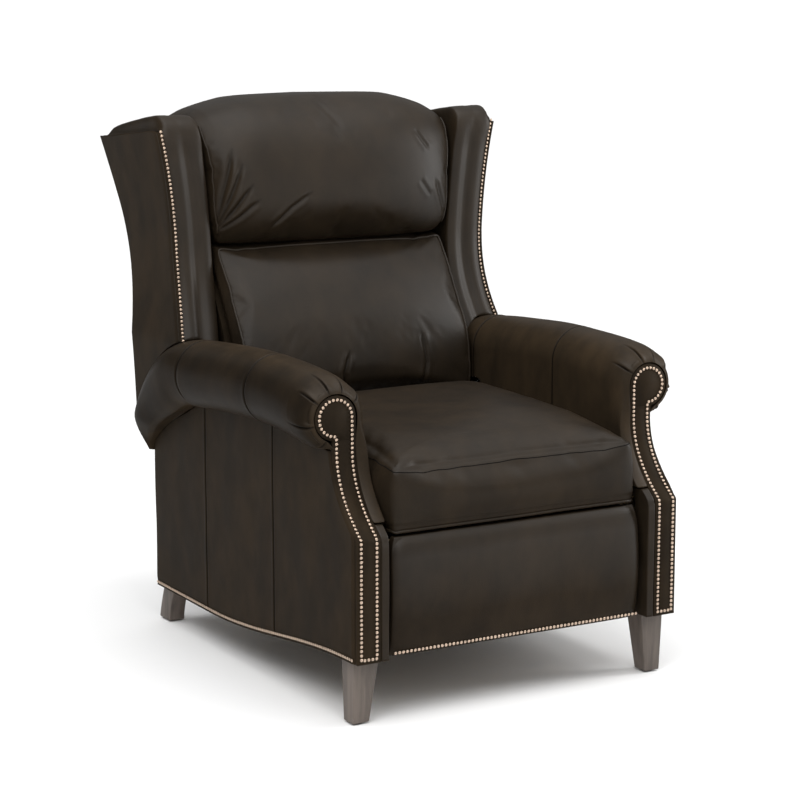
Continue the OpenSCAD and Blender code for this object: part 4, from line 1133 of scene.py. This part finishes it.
def fold_shade(co, n, folds):
    """Painted shade of the folds at a place on a cushion's front."""
    if n.y > -0.2 or co.y > NOSE_Y + 0.05:
        return 0.0
    return max(0.55 * k * bump(near_line(co.x, co.z, line)[0], w * 0.45) for line, w, k in folds)


LUMBAR_FOLDS = [([(-0.045, 0.520), (-0.050, 0.575), (-0.036, 0.622)], 0.005, 0.8),
                ([(0.150, 0.530), (0.158, 0.580), (0.150, 0.650)], 0.005, 0.6)]


def lumbar_relief(co, n):
    if n.y > -0.2:
        return 0.0
    out = sum(crease(co.x, co.z, line, w, k * sizes().fold_depth) for line, w, k in LUMBAR_FOLDS)
    return out + 0.0018 * unrest(co.x * 5, 2.0, co.z * 4)


# outer and inner outline of the head cushion: shares of PAD_D backwards and of HEAD_RISE upwards
HEAD_FOOT_Z, HEAD_RISE = 0.8475, 0.3155
HEAD_SHARES = [((0.05, 0), (0.95, 0)), ((-0.30, 0.05), (1, 0.06)), ((-0.52, 0.14), (1, 0.15)),
               ((-0.62, 0.27), (1, 0.27)), ((-0.60, 0.42), (1, 0.40)), ((-0.50, 0.57), (1, 0.50)),
               ((-0.30, 0.72), (1.02, 0.58)), ((0.05, 0.86), (1.12, 0.64)), ((0.50, 0.95), (1.30, 0.67)),
               ((1.10, 0.995), (1.60, 0.68)), ((1.90, 1.0), (2.00, 0.68)), ((2.60, 0.97), (2.50, 0.67)),
               ((3.15, 0.905), (2.95, 0.655)), ((3.45, 0.82), (3.20, 0.64)), ((3.55, 0.73), (3.30, 0.62))]
# places across, and the height of the cushion's top there
HEAD_CROWN = (0, 0.192, 0.276, 0.324, 0.348), (1.160, 1.157, 1.147, 1.133, 1.123)


def head_mesh():
    """Head cushion: domed in front, rolled over the top of the back and down behind it."""
    at = [tuple((NOSE_Y + PAD_D * s[0], HEAD_FOOT_Z + HEAD_RISE * s[1]) for s in pair)
          for pair in HEAD_SHARES]
    outer = path_through([p[0] for p in at])
    inner = path_through([p[1] for p in at])
    us = stations(-1, 1, 0.05, 0.012, 0.04)
    vs = stations(0, 1, 0.022, 0.006, 0.02)

    def place(u, v, w):
        o, i = outer(v), inner(v)
        pull = 0.30 * abs(u) ** 5
        p = o + (i - o) * (w + (1 - w) * pull)
        half = min(wing_in(p[1]) - 0.003, 0.318) - 0.004
        half *= 1 - 0.06 * clamp01(1 - v / 0.10) ** 1.5
        return half * u, p[0] + 0.003 * (1 - w), p[1] - 0.002 * (1 - w) * clamp01(v * 3)

    bm = grid_block(us, vs, [0, 0.15, 0.4, 0.7, 1], place)
    soften(bm, 3)
    bm = puffed(bm, 0.006, 0.018, 2.5, lambda co: co[1] > NOSE_Y + 0.070 and co[2] < 1.045)
    dome_z = 1.05
    for v in bm.verts:
        limit = wing_in(v.co.z) - 0.0015
        v.co.x = max(-limit, min(limit, v.co.x))
        crown = float(np.interp(abs(v.co.x), *HEAD_CROWN))
        if v.co.z > dome_z:
            v.co.z = min(mix(dome_z, v.co.z, (crown - dome_z) / 0.115), crown + 0.001)
    soften(bm, 2)
    return bm


def lumbar_piping(tree):
    """Piping up both sides and along the top of the lumbar cushion."""
    side = [(0.2835, lumbar_y(z) + 0.002, z) for z in np.linspace(0.520, 0.832, 30)]
    y = lumbar_y(0.843)
    path = with_mirror(side + [(0.276, y, 0.8425), (0.262, y, 0.8455)])
    return tube(nearest_on(tree, resampled(path, PATH_STEP), 0.0012), sizes().piping_r)


def head_piping(tree, side):
    """Piping up one side of the head cushion; side is -1 or 1."""
    line = [(side * (wing_in(z) - 0.003), NOSE_Y - 0.006 + 0.030 * smooth((z - 1.02) / 0.12), z)
            for z in np.linspace(0.862, 1.128, 40)]
    return tube(nearest_on(tree, resampled(line, PATH_STEP), 0.0008), sizes().piping_r * 0.9)


HEAD_FOLDS = [([(-0.292, 0.876), (-0.275, 0.960), (-0.252, 1.055)], 0.006, 0.7),
              ([(-0.290, 0.880), (-0.262, 0.950), (-0.234, 1.023)], 0.0055, 0.7),
              ([(-0.288, 0.882), (-0.250, 0.930), (-0.214, 0.980)], 0.0055, 0.7),
              ([(-0.285, 0.880), (-0.240, 0.912), (-0.198, 0.948)], 0.005, 0.55),
              ([(-0.172, 0.881), (-0.125, 0.927), (-0.077, 0.959)], 0.005, 0.55),
              ([(0.200, 1.085), (0.216, 1.058), (0.232, 1.037)], 0.005, 0.25),
              ([(0.198, 0.975), (0.214, 0.955), (0.230, 0.936)], 0.005, 0.25),
              ([(0.285, 0.885), (0.262, 0.930), (0.244, 0.975)], 0.006, 0.4)]


def head_relief(co, n):
    out = 0.0
    if co.y < NOSE_Y + 0.060 and n.y < 0.2:
        out += sum(crease(co.x, co.z, line, w, k * sizes().fold_depth) for line, w, k in HEAD_FOLDS)
    return out + 0.0024 * unrest(co.x * 4.5, co.y * 4.5, co.z * 4.0)


# ------------------------------------------------------------------ wings
# front line of the padding over the top and the line behind it, in shares of PAD_D back from the nose and
# down from the top
WING_CROWN = [((-0.05, 0.55), (1, 1.18)), ((0.05, 0.24), (1.05, 1.05)), ((0.316, 0.05), (1.18, 0.95)),
              ((0.987, 0.066), (1.66, 0.9)), ((1.868, 0.184), (2.1, 0.94)), ((2.632, 0.303), (2.6, 1.0)),
              ((3.447, 0.461), (3.0, 1.1)), ((3.842, 0.592), (3.25, 1.2)), ((4.0, 0.80), (3.4, 1.35))]
# how far the padding's front falls back at places across it, from its inner side to its outer side
WING_DROP = [(0, 0.26), (0.03, 0.12), (0.08, 0.06), (0.20, 0.03), (0.34, 0.02), (0.43, 0.02), (0.485, 0.03),
             (0.53, 0.03), (0.62, 0.01), (0.74, 0.0), (0.90, 0.02), (0.97, 0.08), (1, 0.14)]
wing_drop = curve_through(WING_DROP)


def wing_top_z(y):
    """Height of the straight upper edge of a wing's outside panel."""
    return mix(1.0995, 1.0715, clamp01((y - 0.239) / (REAR_Y - 0.240)))


def wing_paths():
    """Front line of a wing's padding from its foot, up the nose and over the top, and the line behind it."""
    r = ARC_OUT + 0.0006
    foot = about_hinge(r, 12)
    foot_in = about_hinge(r + 0.002, 28)
    pairs = [((max(foot[0], nose_y(foot[1])), foot[1]), foot_in)]
    for k in range(1, 8):
        z = mix(foot[1], WING_H - 0.6 * PAD_D, k / 7.5)
        pairs.append(((nose_y(z), z), (nose_y(z) + PAD_D, z - 0.0026 * k)))
    for pair in WING_CROWN:
        pairs.append(tuple((NOSE_Y + s[0] * PAD_D, WING_H - s[1] * PAD_D) for s in pair))
    return path_through([p[0] for p in pairs]), path_through([p[1] for p in pairs])


def wing_pad_mesh():
    """Padded front of a wing, with its soft upright ridges, turned over at the top."""
    outer, inner = wing_paths()
    proud = 0.0025
    us = stations(0, 1, 0.035, 0.012, 0.05, (0, 0.485, 1))
    vs = stations(0, 1, 0.016, 0.004, 0.01)

    def place(u, v, w):
        o, i = outer(v), inner(v)
        if v < 0.06:
            # the foot of the padding reaches down round the arm roll
            across = clamp01(abs(mix(ARM_IN_X, 0.391, u) - ARM_X) / ROLL_R * 0.94)
            drop = (1 - math.sqrt(1 - across ** 2)) * ROLL_R * (1 - smooth(v / 0.06))
            down = np.array((HINGE_Y, HINGE_Z)) - (o + i) / 2
            o, i = (q + down / np.linalg.norm(down) * drop for q in (o, i))
        d = (i - o) / np.linalg.norm(i - o)
        front = o + d * wing_drop(u) * WING_FLARE
        if front[1] > wing_top_z(front[0]) and front[0] > NOSE_Y - 0.004:
            fall = smooth((u - 0.86) / 0.14) * smooth((front[0] - NOSE_Y + 0.004) / 0.012)
            front = np.array((front[0], mix(front[1], wing_top_z(front[0]) + 0.0012, fall)))
        p = front + (i - front) * w
        return mix(wing_in(p[1]), wing_x(p[1]) + proud, u), p[0], p[1]

    bm = grid_block(us, vs, [0, 0.1, 0.3, 0.65, 1], place)
    soften(bm, 2)

    def relief(co, n):
        front = -n.y if co.z < 1.08 else max(-n.y, n.z)
        if front < 0.1 and n.x > -0.5:
            return 0.0
        share = (co.x - wing_in(co.z)) / (wing_x(co.z) + proud - wing_in(co.z))
        ridges = 0.0036 * (bump(share - 0.72, 0.19) + bump(share - 0.22, 0.17))
        ridges -= 0.0026 * bump(share - 0.48, 0.16)
        out = ridges * smooth(-n.y * 2) * smooth((1.10 - co.z) / 0.05)
        return out + 0.0012 * unrest(co.x * 12, co.y * 5, co.z * 4)

    pushed(bm, relief)
    return bm


def wing_nails():
    """Nail row up the outer edge of the wing's front."""
    line = [(wing_x(z) + 0.0035, nose_y(z) + 0.0005, z) for z in np.linspace(0.652, 1.096, 60)]
    return nail_row(resampled(line, sizes().nail_pitch), lambda p: (0.45, -1, 0))


def wing_panel_mesh():
    """Outside wing panel: flat upright leather, cut round the arm below and straight along the top."""
    r = ARC_OUT - 0.0015
    corner_y, corner_z = about_hinge(r, 72)
    foot_y = about_hinge(r, 12)[0]
    proud, thick = 0.0122, 0.008

    def low(y):
        if y <= corner_y:
            return HINGE_Z + math.sqrt(max(r * r - (y - HINGE_Y) ** 2, 0.0))
        return corner_z

    us = stations(0, 1, 0.03, 0.004, 0.015)
    vs = stations(0, 1, 0.02, 0.003, 0.01)

    def place(u, v, w):
        # v runs from the lower edge to the upper edge, u from the front edge to the rear edge
        y = mix(0.190, REAR_Y, u)
        # height and depth depend on each other, so they are found in a few rounds
        for _ in range(4):
            z_top = wing_top_z(y) - 0.006 * (1 - smooth((y - 0.239) / 0.03))
            z_low = low(y)
            z = mix(z_low, z_top, v)
            y = mix(max(nose_y(z), foot_y), rear_y(max(z, corner_z)), u)
        full = 0.006 * fullness(z) * smooth((y - 0.24) / 0.30)
        return wing_x(z) + proud + full - thick * w, y, z

    bm = grid_block(us, vs, [0, 0.5, 1], place)
    soften(bm, 1)

    def relief(co, n):
        if n.x < 0.5:
            return 0.0
        out = 0.0014 * unrest(1.0, co.y * 6, co.z * 4)
        out -= 0.0020 * bump(co.y - nose_y(co.z) - 0.008, 0.006)
        return out

    pushed(bm, relief)
    return bm


def outside_back_mesh():
    """Outside back: a broad padded panel with sides that follow the wings."""
    low_z, high_z = REAR_EDGE[0][0], REAR_EDGE[-1][0]
    step_z, waist = 0.4855, 0.2872  # below the step it is narrower, to pass between the arms
    us = stations(-1, 1, 0.05, 0.008, 0.03)
    vs = stations(low_z, high_z, 0.016, 0.003, 0.012, (low_z, step_z, high_z))

    def place(u, v, w):
        wide = wing_x(v) + 0.003 + 0.006 * fullness(v)
        half = waist if v < step_z else mix(waist, wide, smooth((v - step_z) / 0.004))
        return half * u, rear_y(v) - 0.0115 * w, v

    bm = grid_block(us, vs, [0, 0.2, 0.6, 1], place)
    soften(bm, 1)

    def relief(co, n):
        if n.y < 0.4:
            return 0.0
        half = waist if co.z < step_z else wing_x(co.z) + 0.003
        across = 1 - abs(co.x / half) ** 4
        up = 1 - abs((co.z - 0.69) / 0.40) ** 4
        out = 0.0015 * max(across, 0) * max(up, 0)
        out += 0.0026 * unrest(co.x * 4, 6.0, co.z * 3.2)
        out += 0.0012 * unrest(co.x * 11, 2.0, co.z * 8)
        for s in (-0.165, 0.165):
            out -= 0.0020 * bump(co.x - s, 0.0022)
        return out

    pushed(bm, relief)
    return bm


def rear_panel_mesh():
    """Rear of the base: a low panel between the sides, with an ear up each arm."""
    half, inner, thick = 0.3552, 0.2935, 0.0116
    low_z, mid_z, ear_z = HEM_REAR_Z + 0.0005, 0.2675, 0.3915
    us = sorted(set(stations(-half, half, 0.02, 0.003, 0.01) + [-inner, inner]))
    vs = stations(low_z, mid_z, 0.012, 0.003, 0.01)

    def place(u, v, w):
        return u, BASE_REAR_Y - 0.0002 - thick * w, v

    bm = grid_block(us, vs, [0, 0.4, 1], place)
    ears = []
    for s in (-1, 1):
        a, b = (inner, half) if s > 0 else (-half, -inner)
        ears.append(grid_block(stations(a, b, 0.012, 0.003, 0.006),
                               stations(mid_z + 0.0004, ear_z, 0.012, 0.003, 0.008, (mid_z, ear_z)),
                               [0, 0.4, 1], place))
    whole = joined([bm] + ears)
    soften(whole, 1)
    pushed(whole, lambda co, n: 0.0 if n.y < 0.4 else 0.0012 * unrest(co.x * 6, 1, co.z * 6))
    return whole


# ------------------------------------------------------------------ legs
def eased(bm, edges):
    """Rounds the given edges of a leg."""
    bmesh.ops.bevel(bm, geom=edges, offset=0.0022, affect="EDGES", segments=3, profile=0.5, material=-1)
    return bm


def leg_front_mesh():
    low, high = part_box("leg_front_right")
    foot, splay = 0.0365, 0.008
    bm = bmesh.new()
    bmesh.ops.create_cube(bm, size=1.0)
    for v in bm.verts:
        right, rear, top = v.co.x > 0, v.co.y > 0, v.co.z > 0
        v.co.x = high.x if right else (low.x if top else high.x - foot)
        y = low.y + splay + (foot if rear else 0)
        v.co.y = y + (splay if rear else -splay) if top else y
        v.co.z = high.z if top else low.z
    return eased(bm, bm.edges[:])


def leg_rear_mesh():
    low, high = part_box("leg_rear_right")
    foot_d, kick = 0.051, 0.026

    def place(u, v, w):
        y_front = low.y + kick - kick * v ** 1.6
        y_rear = low.y + kick + foot_d - kick * v ** 1.3
        return mix(low.x, high.x, w), mix(y_front, y_rear, u), mix(low.z, high.z, v)

    bm = grid_block([0, 1], np.linspace(0, 1, 9), [0, 1], place)
    sharp = [e for e in bm.edges if len(e.link_faces) == 2 and e.calc_face_angle(0) > 0.9]
    return eased(bm, sharp)


# ------------------------------------------------------------------ operators
class PieceOperator:
    """What every operator of the chair shares."""
    bl_options = {"REGISTER", "UNDO"}

    def execute(self, context):
        self.make()
        return {"FINISHED"}


class RECLINER_OT_arms(PieceOperator, bpy.types.Operator):
    """Rolled arms with their pleats, side panels, posts and keyhole facings"""
    bl_idname = "recliner.arms"
    bl_label = "Arms"

    def make(self):
        both(arm_roll_mesh, "arm_roll", "base", "leather_arm_painted_light_and_shade", ("arm_pad", "arm_lining"), fill=0.8)
        both(panel_mesh, "side_panel", "base", "leather_side", ("arm_panel",))
        both(facing_mesh, "keyhole_facing", "base", "leather_side", ("arm_facing",))
        both(post_mesh, "wrapped_post", "base", "leather_rest", ("arm_post",))
        both(hem_nails, "hem_nails", "base", "nail", slot="mechanism_steel")
        both(facing_nails, "facing_nails", "base", "nail", slot="mechanism_steel")


class RECLINER_OT_seat(PieceOperator, bpy.types.Operator):
    """Seat cushion with its piping, and the padded footrest with its nails"""
    bl_idname = "recliner.seat"
    bl_label = "Seat and footrest"

    def make(self):
        bm = seat_mesh()
        pushed(bm, seat_relief)
        tree = BVHTree.FromBMesh(bm)
        keep(bm, "seat_pad", "seat", "leather_seat", ["seat_cushion"], fill=0.7)
        path = rounded_path(SEAT_EDGE_X, -0.5125, SEAT_EDGE_REAR_Y, SEAT_LOW.z + 0.0034)
        path = nearest_on(tree, resampled(path, PATH_STEP), 0.0012)
        keep(tube(path, sizes().piping_r), "seat_piping", "seat", "leather_seat")
        keep(seat_seam(tree), "seat_seam", "seat", "stitch")
        keep(footrest_mesh(), "footrest_cover", "footrest", "leather_rest", ["footrest_pad"], fill=0.6)
        keep(footrest_nails(), "footrest_nails", "footrest", "nail", slot="mechanism_steel")


class RECLINER_OT_back(PieceOperator, bpy.types.Operator):
    """Lumbar and head cushions with their folds and piping"""
    bl_idname = "recliner.back"
    bl_label = "Back cushions"

    def make(self):
        bm = lumbar_mesh()
        pushed(bm, lumbar_relief, lambda co, n: fold_shade(co, n, LUMBAR_FOLDS))
        tree = BVHTree.FromBMesh(bm)
        keep(bm, "lumbar_pad", "back", "leather", ["lumbar_cushion"], fill=0.6)
        keep(lumbar_piping(tree), "lumbar_piping", "back", "leather")
        bm = head_mesh()
        pushed(bm, head_relief, lambda co, n: fold_shade(co, n, HEAD_FOLDS))
        tree = BVHTree.FromBMesh(bm)
        keep(bm, "head_pad", "back", "leather", ["head_cushion"], fill=0.7)
        keep(head_piping(tree, -1), "head_piping_left", "back", "leather")
        keep(head_piping(tree, 1), "head_piping_right", "back", "leather")


class RECLINER_OT_wings(PieceOperator, bpy.types.Operator):
    """Padded wings, their outside panels and nail rows"""
    bl_idname = "recliner.wings"
    bl_label = "Wings"

    def make(self):
        both(wing_pad_mesh, "wing_padding", "back", "leather", ("wing_pad",), fill=0.8)
        both(wing_panel_mesh, "wing_side", "back", "leather_side", ("wing_panel",))
        both(wing_nails, "wing_nails", "back", "nail", slot="mechanism_steel")


class RECLINER_OT_rear(PieceOperator, bpy.types.Operator):
    """Outside back and the rear panel of the base"""
    bl_idname = "recliner.rear"
    bl_label = "Rear"

    def make(self):
        keep(outside_back_mesh(), "back_cover", "back", "leather_side", ["outside_back"])
        keep(rear_panel_mesh(), "rear_cover", "base", "leather_side", ["rear_panel"])


class RECLINER_OT_legs(PieceOperator, bpy.types.Operator):
    """Tapered front legs and kicked rear legs in grey oak"""
    bl_idname = "recliner.legs"
    bl_label = "Legs"

    def make(self):
        both(leg_front_mesh, "front_leg", "base", "leg", ("leg_front",), slot="leg_wood")
        both(leg_rear_mesh, "rear_leg", "base", "leg", ("leg_rear",), slot="leg_wood")


FRAME_FINISHES = {
    "pine_y": ("side_rail_left", "side_rail_right", "arm_board_left", "arm_board_right"),
    "pine_x": ("rear_rail", "front_stretcher", "seat_bearers", "back_cross_rails", "footrest_board"),
    "pine_z": ("corner_blocks",),
    "spring": ("seat_springs",),
    "lining": ("seat_deck", "back_webbing", "seat_frame"),
    "leather_side": ("back_side_left", "back_side_right"),
    "glide": ("leg_glides",),
    "steel": ("base_plate_left", "base_plate_right", "seat_plate_left", "seat_plate_right",
              "back_bracket_left", "back_bracket_right", "torque_tube", "rear_link_left", "rear_link_right",
              "cross_link_left", "cross_link_right", "front_link_left", "front_link_right",
              "long_link_left", "long_link_right", "short_links",
              "footrest_bracket_left", "footrest_bracket_right"),
}


class RECLINER_OT_frame(PieceOperator, bpy.types.Operator):
    """Finishes of the hidden timber, the mechanism, the springs and the deck"""
    bl_idname = "recliner.frame"
    bl_label = "Frame finishes"

    def make(self):
        for key, nodes in FRAME_FINISHES.items():
            for node in nodes:
                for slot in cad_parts[node].material_slots:
                    slot.material = material(key)


def plain(name, colour, rough):
    m, shader, p = new_material(name)
    plug(shader, "Base Color", p.noise(3.0, 2.0).tint(rgba(colour, 0.99), rgba(colour)))
    shader.inputs["Roughness"].default_value = rough
    return m


def aimed(thing, place, aim):
    """Puts a light or camera at a place and turns it to its aim."""
    thing.location = place
    thing.rotation_euler = (Vector(aim) - Vector(place)).to_track_quat("-Z", "Y").to_euler()


def soft_light(name, place, aim, size, power):
    data = bpy.data.lights.new(name, "AREA")
    data.shape, data.size, data.size_y = "RECTANGLE", *size
    data.energy = power
    aimed(placed(name, data), place, aim)


class RECLINER_OT_stage(PieceOperator, bpy.types.Operator):
    """White floor, soft studio light and the camera"""
    bl_idname = "recliner.stage"
    bl_label = "Stage"

    def make(self):
        scene = bpy.context.scene
        bm = bmesh.new()
        bmesh.ops.create_grid(bm, x_segments=1, y_segments=1, size=400)
        floor = placed("studio_floor", mesh_of(bm, "studio_floor"))
        floor.location.z = -0.0005
        floor.data.materials.append(plain("studio_white", (0.93, 0.93, 0.93), 0.9))
        world = bpy.data.worlds.new("studio")
        scene.world = world
        world.use_nodes = True
        sky = world.node_tree
        way = Socket(sky, sky.nodes.new("ShaderNodeTexCoord").outputs["Generated"])
        glow = way.axis(2).clamped(0.05, 0.95).tint((0.11, 0.11, 0.11, 1), (1, 1, 1, 1))
        sky.links.new(glow.socket, sky.nodes["Background"].inputs[0])
        sky.nodes["Background"].inputs[1].default_value = 0.80
        data = bpy.data.lights.new("ceiling", "SUN")
        data.energy, data.angle = 1.9, math.radians(70)
        placed("ceiling", data).rotation_euler = (math.radians(8), math.radians(-6), 0)
        soft_light("key", (-0.9, -3.7, 2.7), (0, 0, 0.6), (1.0, 2.2), 23)
        soft_light("left_window", (-2.6, -2.2, 3.1), (0.3, -0.1, 0.6), (1.6, 1.6), 45)
        soft_light("right_window", (3.0, -1.2, 1.6), (0, 0, 0.7), (0.7, 2.4), 50)
        data = bpy.data.cameras.new("view")
        data.lens, data.sensor_width = 106.3, 36.0
        scene.camera = placed("view", data)
        aimed(scene.camera, (-2.4939, -4.2864, 1.4247), (0.0238, -0.011, 0.526))
        scene.view_settings.view_transform = "Standard"


class RECLINER_PT_panel(bpy.types.Panel):
    """Sizes, colours and pieces of the recliner"""
    bl_idname = "RECLINER_PT_panel"
    bl_label = "Wingback recliner"
    bl_space_type = "VIEW_3D"
    bl_region_type = "UI"
    bl_category = "Recliner"

    def draw(self, context):
        layout = self.layout
        for group in (context.scene.recliner_sizes, context.scene.recliner_colours):
            column = layout.column(align=True)
            for name in group.__annotations__:
                column.prop(group, name)
        column = layout.column(align=True)
        for operator in OPERATORS:
            column.operator(operator.bl_idname)


OPERATORS = (RECLINER_OT_stage, RECLINER_OT_frame, RECLINER_OT_legs, RECLINER_OT_arms, RECLINER_OT_rear,
             RECLINER_OT_wings, RECLINER_OT_seat, RECLINER_OT_back)
CLASSES = (UpholsterySizes, UpholsteryColours) + OPERATORS + (RECLINER_PT_panel,)


def register():
    for cls in CLASSES:
        bpy.utils.register_class(cls)
    bpy.types.Scene.recliner_sizes = bpy.props.PointerProperty(type=UpholsterySizes)
    bpy.types.Scene.recliner_colours = bpy.props.PointerProperty(type=UpholsteryColours)


def unregister():
    del bpy.types.Scene.recliner_colours
    del bpy.types.Scene.recliner_sizes
    for cls in reversed(CLASSES):
        bpy.utils.unregister_class(cls)


def main():
    register()
    for operator in OPERATORS:
        family, name = operator.bl_idname.split(".")
        getattr(getattr(bpy.ops, family), name)()


if __name__ == "__main__":
    main()
